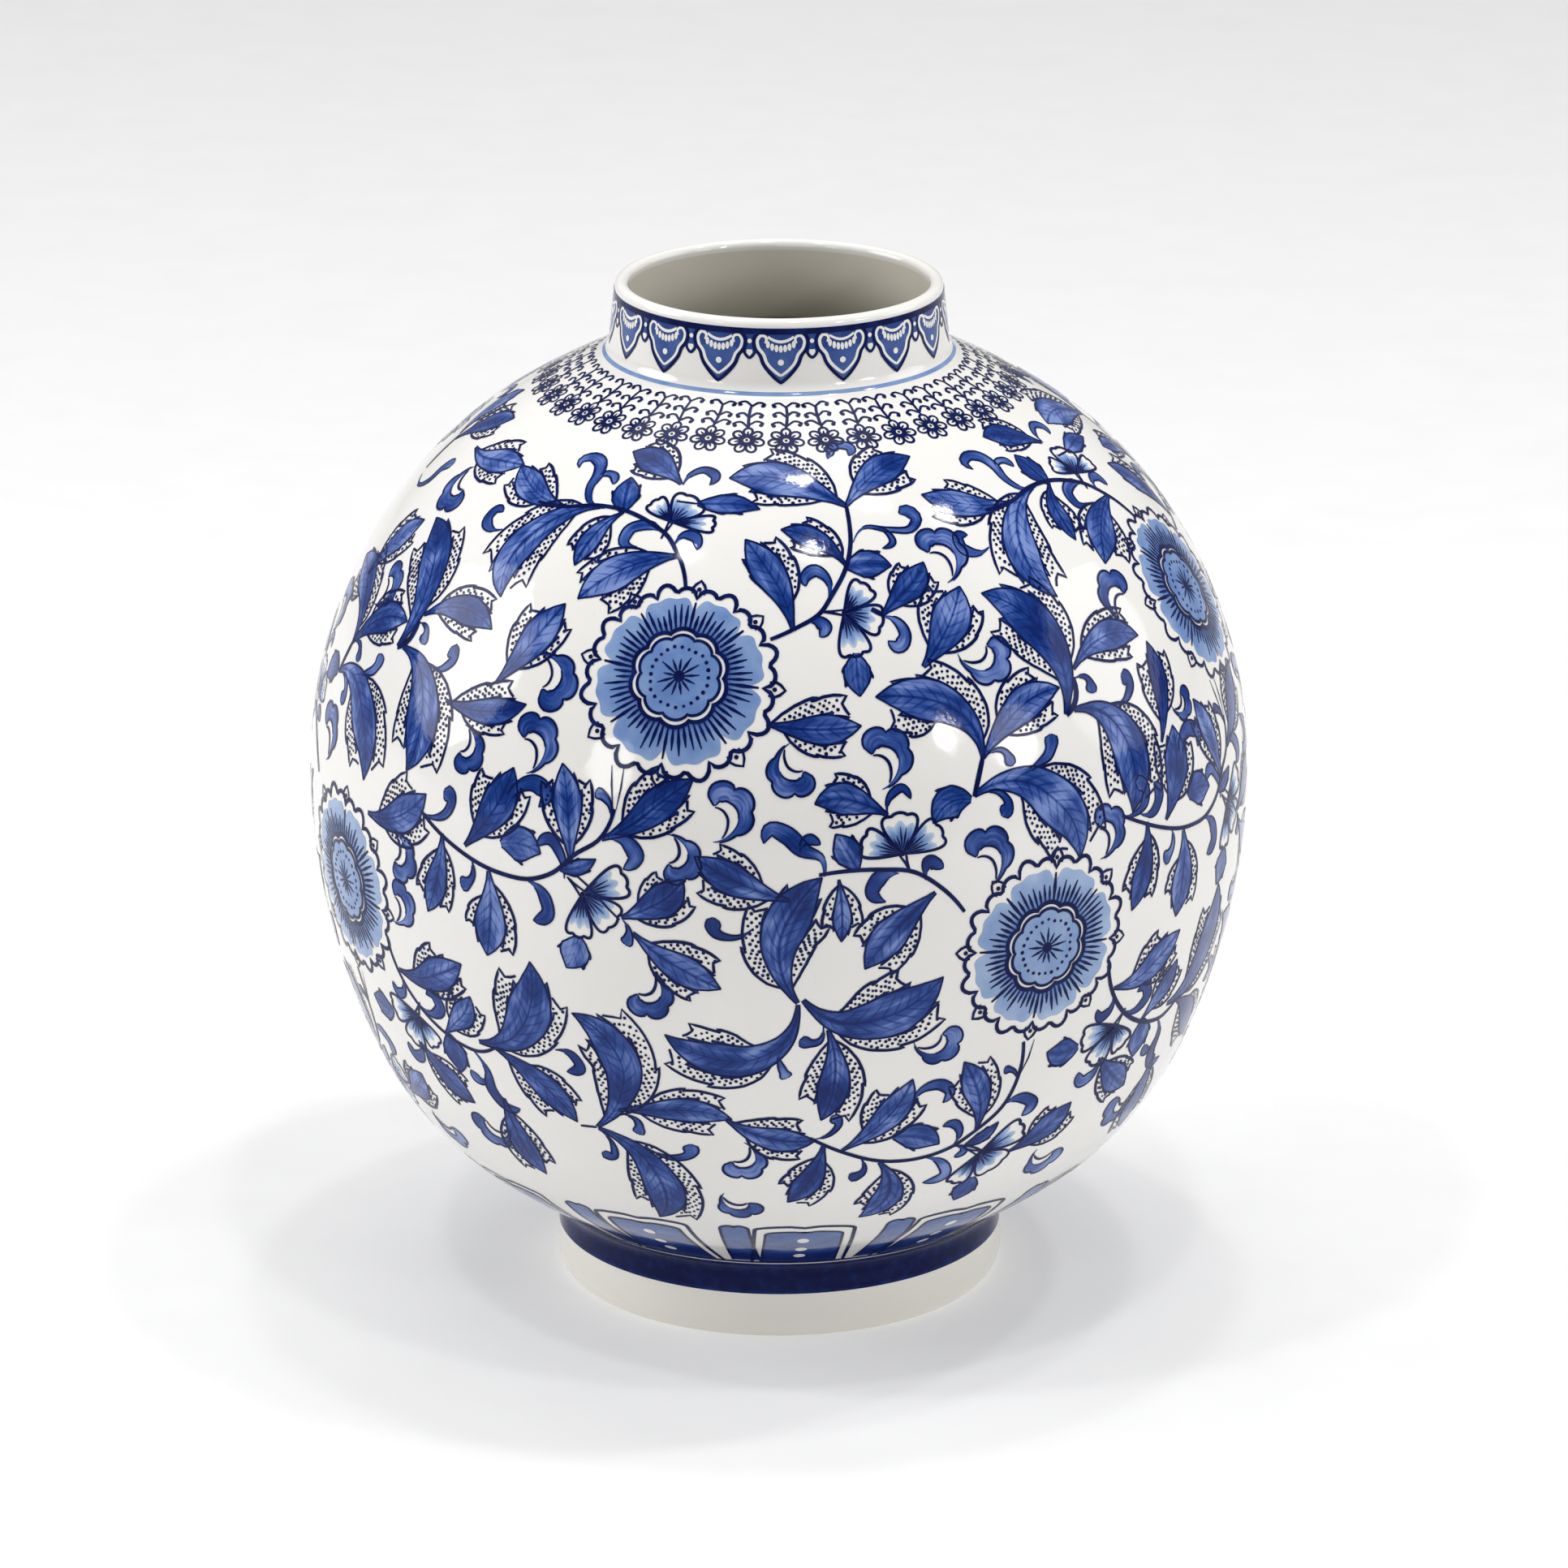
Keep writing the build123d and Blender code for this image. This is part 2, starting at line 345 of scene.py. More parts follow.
# A scroll, in shares of its height: its spine, half width, and the white crescent
SCROLL_SPINE = [
    (0, 0), (-0.12, 0.06), (-0.27, 0.22), (-0.35, 0.43), (-0.32, 0.64),
    (-0.15, 0.79), (0.06, 0.81), (0.19, 0.70), (0.17, 0.56),
]
SCROLL_WIDTH = ([0, 0.12, 0.3, 0.5, 0.7, 0.88, 0.97, 1], [0.01, 0.035, 0.08, 0.13, 0.15, 0.14, 0.08, 0.01])
SCROLL_CRESCENT = [(0.16, 0.54), (0.04, 0.54), (-0.09, 0.45), (-0.14, 0.3), (-0.11, 0.1)]

# The large flower: petals, the angle of its first, and hatching lines in each;
# a sepal's outline out from the centre and across, in shares of its size
PETALS = 8
FIRST_PETAL = radians(-6)
HATCHES = 7
CENTRE_RAYS = 13
CENTRE_DOTS = 24
SEPAL = [(0.90, 0.06), (0.96, 0.075), (1.01, 0.05), (1.06, 0), (1.01, -0.05), (0.96, -0.075), (0.90, -0.06)]


class Sheet:
    """A printed sheet of decoration, drawn once and laid round the vase in
    copies. Its places are degrees; widths of brush strokes are degrees too, and
    widths of lines are millimetres."""

    def __init__(self):
        self.fills, self.lines, self.stipples = [], [], []
        self.anchor = (0, 0)

    def fill(self, layer, left, right, columns, tone, vein=0.0, along=None):
        """A patch between two rails that have the same number of points; along
        gives how far along its length each pair lies, if not as they are drawn."""
        rails = np.array(left, float), np.array(right, float)
        if along is None:
            step = np.linalg.norm(np.diff((rails[0] + rails[1]) / 2, axis=0), axis=1)
            along = np.concatenate([[0], np.cumsum(step)])
        self.fills.append((self.anchor, layer, *rails, columns, tone, vein, along))

    def line(self, points, width, layer=LINE, ends=0.35, closed=False):
        """A line through exactly these points; its ends taper to a share."""
        self.lines.append((self.anchor, layer, np.array(points, float), width, ends, closed))

    def vine(self, points, width=1.5):
        """A stem: a smooth dark line."""
        self.anchor = points[0]
        length = np.sum(np.linalg.norm(np.diff(np.array(points, float), axis=0), axis=1))
        path, _ = smooth(points, max(6, int(length * 1.4)))
        self.line(path, width, ends=0.8)

    def dot(self, place, radius):
        """A dot of dark blue, its radius in millimetres."""
        self.stipples.append((*self.anchor, place[0], place[1], radius))

    def leaf(self, spine, width, flaps=(), edge=LEAF_EDGE, barbs=LEAF_BARBS, vein=1.0):
        """A leaf with a veined body; width is its half width at the widest. Each
        flap is (side, start, end, width): a stippled fold beside the body."""
        self.anchor = spine[0]
        fine, fine_normal = smooth(spine, 97)
        if rng.random() < 0.5:
            barbs = barbs[::-1]
        tips = [at for side in barbs for at, out, lean in side]
        share = np.unique(np.concatenate([np.linspace(0, 1, 31), tips]))
        at = np.linspace(0, 1, len(fine))
        path = np.stack([np.interp(share, at, fine[:, i]) for i in (0, 1)], 1)
        normal = np.stack([np.interp(share, at, fine_normal[:, i]) for i in (0, 1)], 1)
        tangent = np.stack([normal[:, 1], -normal[:, 0]], 1)
        length = np.sum(np.linalg.norm(np.diff(path, axis=0), axis=1))
        knot = np.array(edge)
        plain = width * np.interp(share, knot[:, 0], knot[:, 1])
        tone = rng.uniform(0.2, 0.75)
        rails = [path + normal * plain[:, None], path - normal * plain[:, None]]
        self.fill(COBALT, rails[0], rails[1], 7, tone, vein, share * length)
        for side, rail, marks in zip((1, -1), rails, barbs):
            self.line(rail, 0.6, ends=0.8)
            for tip, reach, lean in marks:
                part = (share > tip - BARB_LENGTH) & (share <= tip)
                swell = (1 - (tip - share[part]) / BARB_LENGTH)[:, None] ** 2
                out = side * width * reach * normal[part] + length * lean * tangent[part]
                barb = rail[part] + out * swell
                self.fill(COBALT, rail[part], barb, 2, tone, 0.0, share[part] * length)
                self.line(np.concatenate([barb, rail[part][-1:]]), 0.7, ends=0.9)
        for side, start, end, reach in flaps:
            rail = rails[0] if side > 0 else rails[1]
            self.flap(rail, share, normal * side, tangent, start, end, reach, length)

    def bud(self, spine, width):
        """A small dark bud or leaf with no fold."""
        self.leaf(spine, width, edge=BUD_EDGE, barbs=BUD_BARBS, vein=0.6)

    def flap(self, rail, share, outward, tangent, start, end, reach, length):
        """A white fold of a leaf: an outline with barbs, and rows of dots."""
        knot = np.array(FLAP_EDGE)
        across = np.unique(np.concatenate([np.linspace(0, 1, 21), knot[:, 0]]))
        at = start + (end - start) * across
        base = np.stack([np.interp(at, share, rail[:, i]) for i in (0, 1)], 1)
        out_dir = np.stack([np.interp(at, share, outward[:, i]) for i in (0, 1)], 1)
        on_dir = np.stack([np.interp(at, share, tangent[:, i]) for i in (0, 1)], 1)
        out = reach * np.interp(across, knot[:, 0], knot[:, 1])
        lean = 0.12 * across**2 + np.interp(across, knot[:, 0], knot[:, 2])
        forward = length * (end - start) * lean
        edge = base + out_dir * out[:, None] + on_dir * forward[:, None]
        self.line(edge, 1.0, ends=0.8)
        scale = float(scale_at(base[:, 1].mean()))
        pitch, margin = DOT_PITCH / scale, DOT_MARGIN / scale
        middle = (base + edge) / 2
        reach = np.sum(np.linalg.norm(np.diff(middle, axis=0), axis=1))
        columns = max(2, int(reach / pitch))
        for column in range(columns):
            q = (column + 0.6) / columns
            room = np.interp(q, across, out)
            lean = np.interp(q, across, forward)
            foot = np.array([np.interp(q, across, base[:, i]) for i in (0, 1)])
            step = np.array([np.interp(q, across, out_dir[:, i]) for i in (0, 1)])
            slide = np.array([np.interp(q, across, on_dir[:, i]) for i in (0, 1)])
            height = margin * (0.8 + 0.75 * (column % 2))
            while height < room - margin * 0.8:
                wobble = rng.uniform(-0.1, 0.1, 2) * pitch
                drift = lean * height / room
                place = foot + step * (height + wobble[0]) + slide * (drift + wobble[1])
                self.dot(place, rng.uniform(0.44, 0.62))
                height += pitch

    def blob(self, place, radius, layer, tall=1.0):
        """A round or upright oval spot, its radius across in millimetres."""
        size = radius / float(scale_at(place[1]))
        angle = np.linspace(-pi / 2, pi / 2, 9)
        half = np.stack([np.cos(angle), np.sin(angle) * tall], 1) * size
        self.fill(layer, place + half * [-1, 1], place + half, 5, 0.5)

    def brush(self, points, width, shape="comma"):
        """A loaded brush stroke: thin where it leaves the stem, fat later."""
        self.anchor = points[0]
        path, normal = smooth(points, 23)
        share = np.linspace(0, 1, len(path))
        half = 0.5 * width * np.interp(share, *STROKES[shape])
        half = half * (1 + 0.08 * np.sin(share * 11 + rng.uniform(0, 6)))
        left = path + normal * half[:, None]
        right = path - normal * half[:, None]
        self.fill(COBALT, left, right, 5, rng.uniform(0.4, 0.8))
        self.line(left[4:], 0.6, ends=0.5)
        self.line(right[4:], 0.6, ends=0.5)

    def curl(self, tail, top, turn):
        """A cloud scroll: a lobed blue crook, a white crescent and a fine line.
        It hangs from its tail and rolls over to the side that turn gives."""
        self.anchor = tail
        tail, top = np.array(tail, float), np.array(top, float)
        up = top - tail
        over = turn * np.array([-up[1], up[0]])
        path, normal = smooth(SCROLL_SPINE, 49)
        share = np.linspace(0, 1, len(path))
        half = np.interp(share, *SCROLL_WIDTH)
        lobe = np.abs(np.sin(pi * np.clip((share - 0.26) / 0.70, 0, 1) * 3)) ** 0.5
        outer = path + normal * (half * (0.55 + 0.95 * lobe))[:, None]
        inner = path - normal * (half * 0.85)[:, None]
        inner, outer = [r[:, :1] * over + r[:, 1:] * up + tail for r in (inner, outer)]
        self.fill(COBALT, outer, inner, 6, rng.uniform(0.3, 0.65))
        self.line(outer[3:], 0.8, ends=0.6)
        self.line(inner[20:], 0.7, ends=0.5)
        crescent, _ = smooth(SCROLL_CRESCENT, 17)
        self.line(crescent[:, :1] * over + crescent[:, 1:] * up + tail, 1.0)

    def petal(self, base, angle, length, spread):
        """A petal of a side view flower: a wavy rim, a wash that fades towards
        it and hatching from the base; spread is half its angle in degrees."""
        t = np.linspace(-pi / 2, pi / 2, 41)
        across = np.sin(t)
        turn = np.radians(angle + spread * across)
        ray = np.stack([np.cos(turn), np.sin(turn)], 1)
        bumps = np.abs(np.cos(1.5 * pi * across)) ** 0.6
        reach = (1 - np.abs(across) ** 7) ** 0.5 * (0.93 + 0.07 * bumps)
        rim = base + ray * (length * np.maximum(reach, 0.1))[:, None]
        root = base + ray * (length * 0.06)
        washed = root + (rim - root) * (0.74 + 0.05 * np.cos(across * 9))[:, None]
        fade = np.interp(np.linspace(0, 1, 6), [0, 0.3, 0.7, 1], [1, 0.62, 0.5, 0.2])
        self.fill(WASH, root, washed, 6, fade[None, :] * np.ones((41, 1)))
        self.line(np.concatenate([root[:1], rim, root[-1:]]), 1.0, ends=0.8)
        for place in np.linspace(-0.7, 0.7, 5):
            far = rng.uniform(0.48, 0.70) * (1 - 0.25 * abs(place))
            self.spoke(base, radians(angle + spread * place), 0.12 * length, far * length, 0.62, 0.3)

    def blossom(self, base, stalk, petals):
        """A flower seen from the side, on a hollow calyx that narrows to its
        stalk: petals as (angle, length, spread)."""
        self.anchor = base
        base, stalk = np.array(base, float), np.array(stalk, float)
        for angle, length, spread in petals:
            self.petal(base, angle, length, spread)
        down = (stalk - base) / np.linalg.norm(stalk - base)
        side = np.array([-down[1], down[0]])
        for way in (-0.42, 0.42):
            waist = (base + stalk) / 2 + side * way * 0.3
            self.line([base + side * way, waist, stalk], 0.8, ends=0.8)
        self.dot(base, 0.8)

    def spoke(self, centre, angle, near, far, width, ends):
        """A straight ray from a centre, between two distances from it."""
        ray = np.array([cos(angle), sin(angle)])
        self.line([centre + ray * r for r in (near, (near + far) / 2, far)], width, ends=ends)

    def flower(self, centre, size, pale=0.0):
        """The large round flower: scalloped petals about a rosette; pale thins
        its wash as painted reflection, paling it as glare on the glaze would."""
        self.anchor = centre
        centre = np.array(centre, float)

        def ring(radius):
            angle = np.linspace(0, tau, 181)
            radius = radius(angle) if callable(radius) else radius
            return centre + np.stack([np.cos(angle), np.sin(angle)], 1) * np.reshape(radius, (-1, 1))

        def phase_of(angle):
            return ((angle - FIRST_PETAL) / tau * PETALS) % 1

        def scallops(angle):
            phase = phase_of(angle)
            third = np.abs(np.sin(pi * phase * 3)) ** 0.55
            middle = np.exp(-(((phase - 0.5) / 0.2) ** 2))
            return size * (0.845 + 0.11 * third + 0.055 * middle)

        def rosette(radius):
            return lambda angle: radius * (0.94 + 0.10 * np.abs(np.sin(angle * 5)) ** 0.7)

        def petal_edge(angle):
            round_end = 1 - 0.20 * np.abs(2 * phase_of(angle) - 1) ** 6
            return size * (0.845 * round_end + 0.012 * np.sin(angle * 24 + 1))

        def washed(inner, outer, columns, places, tones):
            # Painted reflection: pale lifts the whole wash towards bare ware, standing in for glare on the
            # glaze.
            shade = np.interp(np.linspace(0, 1, columns), places, tones) - pale
            inner, outer = ring(inner), ring(outer)
            self.fill(WASH, inner, outer, columns, shade[None, :] * np.ones((len(inner), 1)))

        inner_ring = rosette(size * 0.475)
        core = rosette(size * 0.41)
        washed(inner_ring, petal_edge, 7, [0, 0.1, 0.3, 1], [0.8, 0.62, 0.5, 0.42])
        washed(0.01, core, 5, [0, 0.25, 1], [0.7, 0.52, 0.48])
        self.line(ring(inner_ring), 1.4, closed=True)
        self.line(ring(core), 1.0, closed=True)
        self.line(ring(scallops), 1.3, closed=True)
        self.dot(centre, 1.8)
        for index in range(CENTRE_RAYS):
            angle = index * tau / CENTRE_RAYS + 0.1
            self.spoke(centre, angle, 0.4, size * rng.uniform(0.16, 0.24), 0.85, 0.3)
        for index in range(CENTRE_DOTS):
            angle = index * tau / CENTRE_DOTS
            place = centre + np.array([cos(angle), sin(angle)]) * size * rng.uniform(0.285, 0.31)
            self.dot(place, rng.uniform(0.5, 0.68))
        for petal in range(PETALS):
            start = FIRST_PETAL + petal * tau / PETALS
            for hatch in range(1, HATCHES + 1):
                angle = start + hatch * tau / PETALS / (HATCHES + 1)
                near = inner_ring(np.array([angle]))[0]
                self.spoke(centre, angle, near, size * rng.uniform(0.64, 0.78), 1.05, 0.35)
            ray = np.array([cos(start), sin(start)])
            side = np.array([-ray[1], ray[0]])
            self.line([centre + ray * size * r for r in (0.5, 0.64, 0.80)], 1.2, ends=0.5)
            self.line([centre + (ray * r + side * q) * size for r, q in SEPAL], 0.9, ends=1.0)
            self.dot(centre + ray * size * 0.955, 0.75)

    def lay(self, place_of=lambda place: place, keep=lambda lon, lat: True):
        """Lay the sheet on the vase: place_of moves its places, and keep says
        which motifs to print, by where each starts on the sheet."""
        for anchor, layer, left, right, columns, tone, vein, along in self.fills:
            if not keep(*anchor):
                continue
            left, right = place_of(left), place_of(right)
            share = np.linspace(0, 1, columns)[None, :, None]
            places = left[:, None] * (1 - share) + right[:, None] * share
            scale = scale_at(left[:, 1])
            half = np.linalg.norm(left - right, axis=1) * scale / 2
            reach = along * scale.mean()
            layer.patch(places, reach[:, None], 1 - 2 * share[..., 0], half[:, None], tone, vein)
        for anchor, layer, path, width, ends, closed in self.lines:
            if not keep(*anchor):
                continue
            path = place_of(path)
            normal = left_normals(path, closed)
            share = np.linspace(0, 1, len(path))
            taper = 1.0 if closed else ends + (1 - ends) * np.sin(pi * share) ** 0.5
            half = (width / 2 * taper * rng.uniform(0.88, 1.12, 1)) / scale_at(path[:, 1])
            if closed:
                half = np.broadcast_to(half, len(path))
            sides = np.stack([path + normal * half[:, None], path - normal * half[:, None]], 1)
            layer.patch(sides, share[:, None], np.array([[1.0, -1.0]]), width / 2, LINE_TONE, 0.0)
        found = np.array([spot for spot in self.stipples if keep(*spot[:2])])
        if len(found):
            DOTS.dots(place_of(found[:, 2:4]), found[:, 4], LINE_TONE)


# ---------------------------------------------------------------- upper spray
def upper_spray():
    """Vines about the first large flower, from the garland down past the belly."""
    s = Sheet()
    s.flower((-13.2, 29.1), 13.3)
    # stems down to the flower from both sides
    s.vine([(-46, 52.6), (-40, 53), (-33.5, 54.6), (-27.5, 54.4), (-21.8, 52.4), (-18.8, 50.6),
            (-16.6, 47.9), (-15.3, 45.8), (-14, 42)])
    s.vine([(12.2, 57.3), (12.1, 53.1), (11.8, 50.2), (10.4, 45.5), (7.6, 40.8), (6, 38.5), (2.3, 36.2),
            (-1.2, 34.6)])
    # left of the flower's stem
    s.brush([(-32, 54.3), (-35.5, 55), (-37.3, 58), (-37.3, 61), (-38.8, 64.2), (-41.5, 65),
             (-43.4, 63.6), (-42.6, 61.6)], 2.6)
    s.brush([(-37, 59.5), (-35.6, 61.8), (-33.8, 61.6), (-32.9, 59.6)], 1.7)
    s.bud([(-28.2, 54), (-29, 57), (-30, 62)], 2.6)
    s.leaf([(-28, 54.1), (-30.5, 51.2), (-32, 47.5), (-32.7, 43.2)], 1.9,
           [(-1, 0.2, 0.75, 1.3), (1, 0.25, 0.8, 1.6)])
    s.brush([(-19.5, 51), (-22.5, 52.2), (-25.6, 51), (-25.8, 48.4), (-23.3, 47.9)], 2.2, "crescent")
    s.brush([(-17.2, 48.9), (-15.9, 51), (-14, 50.8), (-13.3, 48.4)], 1.9)
    s.leaf([(-15.8, 47.1), (-20, 46.1), (-25.4, 43.2), (-30.2, 38.2)], 2.9,
           [(1, 0.3, 0.78, 2.6), (-1, 0.3, 0.85, 1.3)])
    s.blossom((-18.8, 53.4), (-19.7, 49.9), [(139, 6.0, 27), (62, 6.4, 46), (1, 7.8, 18)])
    s.leaf([(-19.2, 61.8), (-23.5, 65.2), (-28, 67.6), (-33.2, 68.6)], 3.4,
           [(-1, 0.2, 0.8, 2.0), (1, 0.2, 0.7, 1.5)])
    s.brush([(-18.8, 61.6), (-18, 64.4), (-15.4, 66), (-12.8, 64.4), (-13.6, 62.2)], 2.0)
    s.bud([(-15, 57.6), (-12, 57.8), (-8, 58), (-3.4, 57)], 2.1)
    s.vine([(-19, 57.8), (-15, 57.6)], 0.7)
    # the double leaf above the second stem
    s.leaf([(12.2, 57.3), (7.5, 60.8), (2, 63.8), (-4, 65), (-10, 64.2)], 4.4,
           [(-1, 0.1, 0.68, 3.6), (1, 0.18, 0.7, 2.4)])
    s.brush([(10.6, 69.6), (11.4, 72.4), (14.2, 73.8), (16.4, 72.6), (15.4, 70.2)], 2.6)
    s.brush([(10.6, 69.6), (11.6, 72), (10.2, 73)], 1.4)
    s.leaf([(12.2, 57.3), (17, 62.5), (22.5, 66.2), (29, 68)], 3.5,
           [(1, 0.28, 0.72, 2.6), (-1, 0.22, 0.75, 2.6)])
    s.brush([(12.2, 49.9), (14.6, 52.6), (18.5, 51.8), (22.8, 51.6), (24.2, 53.4), (23, 55.2),
             (21.4, 54.8)], 2.1, "bone")
    s.brush([(15.5, 52.3), (18.2, 51.4), (18.8, 49.4), (16.8, 48.4)], 1.0)
    s.leaf([(10.4, 45.8), (8, 49.3), (4.5, 51.6), (0.3, 52.8)], 2.0,
           [(-1, 0.12, 0.7, 1.4), (1, 0.2, 0.72, 1.2)])
    s.bud([(10.4, 45.5), (13.2, 45.9), (17.6, 45.2)], 2.3)
    s.brush([(7.3, 40.8), (7.2, 43.8), (5.4, 45.2), (3.9, 43.9), (4, 42.6)], 1.9)
    s.leaf([(1.9, 36), (0.6, 41), (-2.2, 46), (-5.6, 50.8)], 2.6, [(-1, 0.25, 0.8, 2.0)])
    s.blossom((9.3, 38.3), (5.7, 38.6), [(47, 5.7, 30), (-17, 5.7, 33), (-79, 6.5, 28)])
    s.bud([(10.4, 32.4), (10.3, 29.5), (10.4, 26.6)], 1.8)
    s.brush([(3.6, 36.9), (5.4, 37.2), (6.4, 36.2), (5.6, 34.9)], 1.9)
    s.vine([(13.3, 38.6), (14.8, 37.6)], 1.6)
    s.leaf([(14.6, 37.5), (18, 40.3), (20.8, 42.6), (22.9, 45.3)], 2.2,
           [(1, 0.3, 0.72, 1.3), (-1, 0.3, 0.8, 1.3)])
    s.brush([(14.6, 37.4), (16.8, 36.4), (17.5, 34.2), (16.4, 32.9), (15, 33.8)], 1.9)
    s.curl((25.8, 41.4), (26, 51), 1)
    # the leaf that points left, its hook and the great drooping leaf
    s.leaf([(44, 53), (38, 53.6), (33, 55.3), (27.1, 58.2)], 2.8,
           [(-1, 0.15, 0.68, 2.2), (1, 0.35, 0.82, 1.8)])
    s.brush([(35, 46), (32.4, 45.4), (30.2, 46.8), (30.4, 48.9), (32.2, 48.8)], 2.0)
    s.leaf([(51, 54.3), (46.2, 52.6), (42, 48), (40.6, 42.2), (43.2, 36)], 3.1,
           [(-1, 0.15, 0.72, 2.4), (1, 0.2, 0.88, 2.5)])
    # right of the flower, below
    s.leaf([(-1.6, 23.4), (2, 22.8), (6, 22.6), (10.3, 22.9)], 1.9,
           [(1, 0.05, 0.8, 2.3), (-1, 0.2, 0.75, 1.5)])
    s.curl((1.3, 21), (2.3, 14.5), 1)
    # below the flower
    s.line([(-19, 17.4), (-19.2, 14.6), (-19.6, 11.9)], 0.6)
    s.line([(-20.6, 17.2), (-20.4, 14.8), (-20, 11.9)], 0.6)
    s.vine([(-47.6, 6.8), (-42, 4), (-34.8, 2.1), (-30.1, 2.2), (-27.5, 3.3), (-24.4, 6.1), (-21.5, 8.2),
            (-19.8, 12)])
    s.leaf([(-40, 4.3), (-37.2, 7.6), (-35, 11.2), (-33.8, 15)], 2.3,
           [(1, 0.25, 0.72, 2.0), (-1, 0.25, 0.8, 1.4)])
    s.brush([(-34.2, 9.6), (-33, 12.6), (-30.4, 13.6), (-28.8, 12.6), (-29.7, 10.9)], 2.0)
    s.leaf([(-25, 4.8), (-25.4, 8.4), (-26, 12.6), (-27.1, 16.6)], 1.9,
           [(1, 0.2, 0.78, 1.5), (-1, 0.2, 0.75, 1.4)])
    s.brush([(-20.2, 10.6), (-20.7, 12.8), (-22.4, 13.8)], 1.3, "bone")
    s.leaf([(-21.2, 8.2), (-17.5, 10.4), (-13.8, 13.6), (-10.3, 16.4)], 2.0,
           [(1, 0.25, 0.75, 1.8), (-1, 0.25, 0.78, 1.4)])
    s.brush([(-21.2, 8.3), (-18, 8.2), (-16.9, 6.6), (-18.4, 5)], 1.9)
    s.curl((-13.2, 9.6), (-11, 4), -1)
    s.curl((-7.7, 9), (-5.5, 16), 1)
    s.bud([(-26.5, 4), (-24.3, 4.4), (-21.8, 5.8)], 0.9)
    s.bud([(-34.6, 5.6), (-32, 6.1), (-29, 5.4)], 2.1)
    s.brush([(-25.8, 2.9), (-26.4, 5.8), (-28, 7.4), (-29.6, 6.2)], 1.4)
    s.blossom((-23.4, 1.4), (-25.4, 3.2), [(24, 6.0, 27), (-38, 5.2, 34), (-97, 5.5, 25)])
    s.bud([(-24, -3.9), (-24.6, -6), (-25.8, -8.2)], 1.9)
    s.vine([(-24.4, 3.6), (-22.2, 2), (-20.8, 0.6), (-18.8, -1.2)], 0.8)
    s.leaf([(-18.6, -0.9), (-15.5, 0.5), (-12.9, 2.2), (-11.2, 4.4)], 2.0,
           [(-1, 0.2, 0.8, 1.2), (1, 0.3, 0.75, 1.2)])
    s.brush([(-18.4, -1.2), (-17.7, -2.4), (-18.2, -4.2)], 1.4, "bone")
    s.leaf([(-17.2, -2.6), (-14, -5.2), (-10.5, -7.2), (-6.8, -9)], 1.9,
           [(1, 0.2, 0.8, 1.6), (-1, 0.25, 0.75, 1.3)])
    s.curl((-15.2, -7.1), (-16.3, -13.4), -1)
    s.leaf([(-36.3, 2), (-36, -1.5), (-36.3, -5), (-37, -8.8)], 2.3,
           [(1, 0.15, 0.8, 1.5), (-1, 0.3, 0.65, 1.3)])
    s.brush([(-31, 2), (-28.6, 0.6), (-28, -1.8), (-30, -2.9)], 1.8)
    s.brush([(-39, 3.2), (-38.8, 0.6), (-40.6, -0.6)], 1.5, "bone")
    s.leaf([(-43.7, 5), (-43.9, 1.6), (-44.9, -2), (-46.4, -5.4)], 1.7,
           [(1, 0.15, 0.75, 1.3), (-1, 0.2, 0.75, 1.3)])
    s.brush([(-47.8, 6.8), (-45.4, 6.5), (-43.2, 7.6), (-42.6, 9.2), (-44, 10.2)], 1.8, "bone")
    return s


def left_spray():
    """Leaves and scrolls found only on the left, where the sheets do not meet."""
    s = Sheet()
    s.leaf([(-46.6, 20.8), (-42.5, 20.6), (-38, 21.2), (-33.6, 22.9)], 1.7,
           [(1, 0.1, 0.78, 2.0), (-1, 0.25, 0.7, 1.2)])
    s.curl((-42.4, 18.6), (-40.6, 13), -1)
    s.curl((-31.9, 14.6), (-31.6, 22), 1)
    s.leaf([(-39, 24.7), (-36.5, 28.6), (-34.2, 32.8), (-31.9, 37.2)], 2.5,
           [(1, 0.2, 0.7, 2.0), (-1, 0.25, 0.8, 1.3)])
    s.curl((-33.8, 29.4), (-28.4, 23.6), -1)
    # beside the flower on the left
    s.leaf([(-58.5, 3.7), (-54.5, 4), (-50.5, 5.8), (-47, 9)], 2.2,
           [(1, 0.2, 0.78, 2.2), (-1, 0.3, 0.8, 1.8)])
    s.curl((-53.2, 3), (-50, -2.6), -1)
    s.curl((-53.8, -8.6), (-50.4, -3.4), 1)
    # at the left edge of the shoulder
    s.leaf([(-75.5, 56.2), (-70, 55.8), (-63, 57.2), (-56, 58.4)], 2.9,
           [(1, 0.15, 0.7, 2.4), (-1, 0.3, 0.75, 2.2)])
    s.leaf([(-88.5, 53), (-85, 58), (-80.5, 62.3), (-74.8, 65.5)], 3.0,
           [(1, 0.2, 0.7, 2.2), (-1, 0.3, 0.8, 2.2)])
    s.leaf([(-89.5, 54), (-91.5, 59.5), (-91, 65), (-89, 70)], 3.0, [(-1, 0.2, 0.7, 2.2)])
    s.vine([(-88, 46), (-88.6, 50), (-88.8, 54)])
    s.curl((-69, 53.6), (-66.4, 44.6), 1)
    s.brush([(-87, 45), (-83.6, 44), (-80.6, 46), (-79.6, 49.4), (-77.2, 51.4)], 2.2, "bone")
    s.leaf([(-78.6, 29.6), (-76.4, 34), (-73.6, 38), (-70.4, 41.6)], 2.3,
           [(1, 0.2, 0.75, 1.6), (-1, 0.2, 0.8, 1.5)])
    s.curl((-70.6, 27.6), (-68, 34.2), 1)
    return s


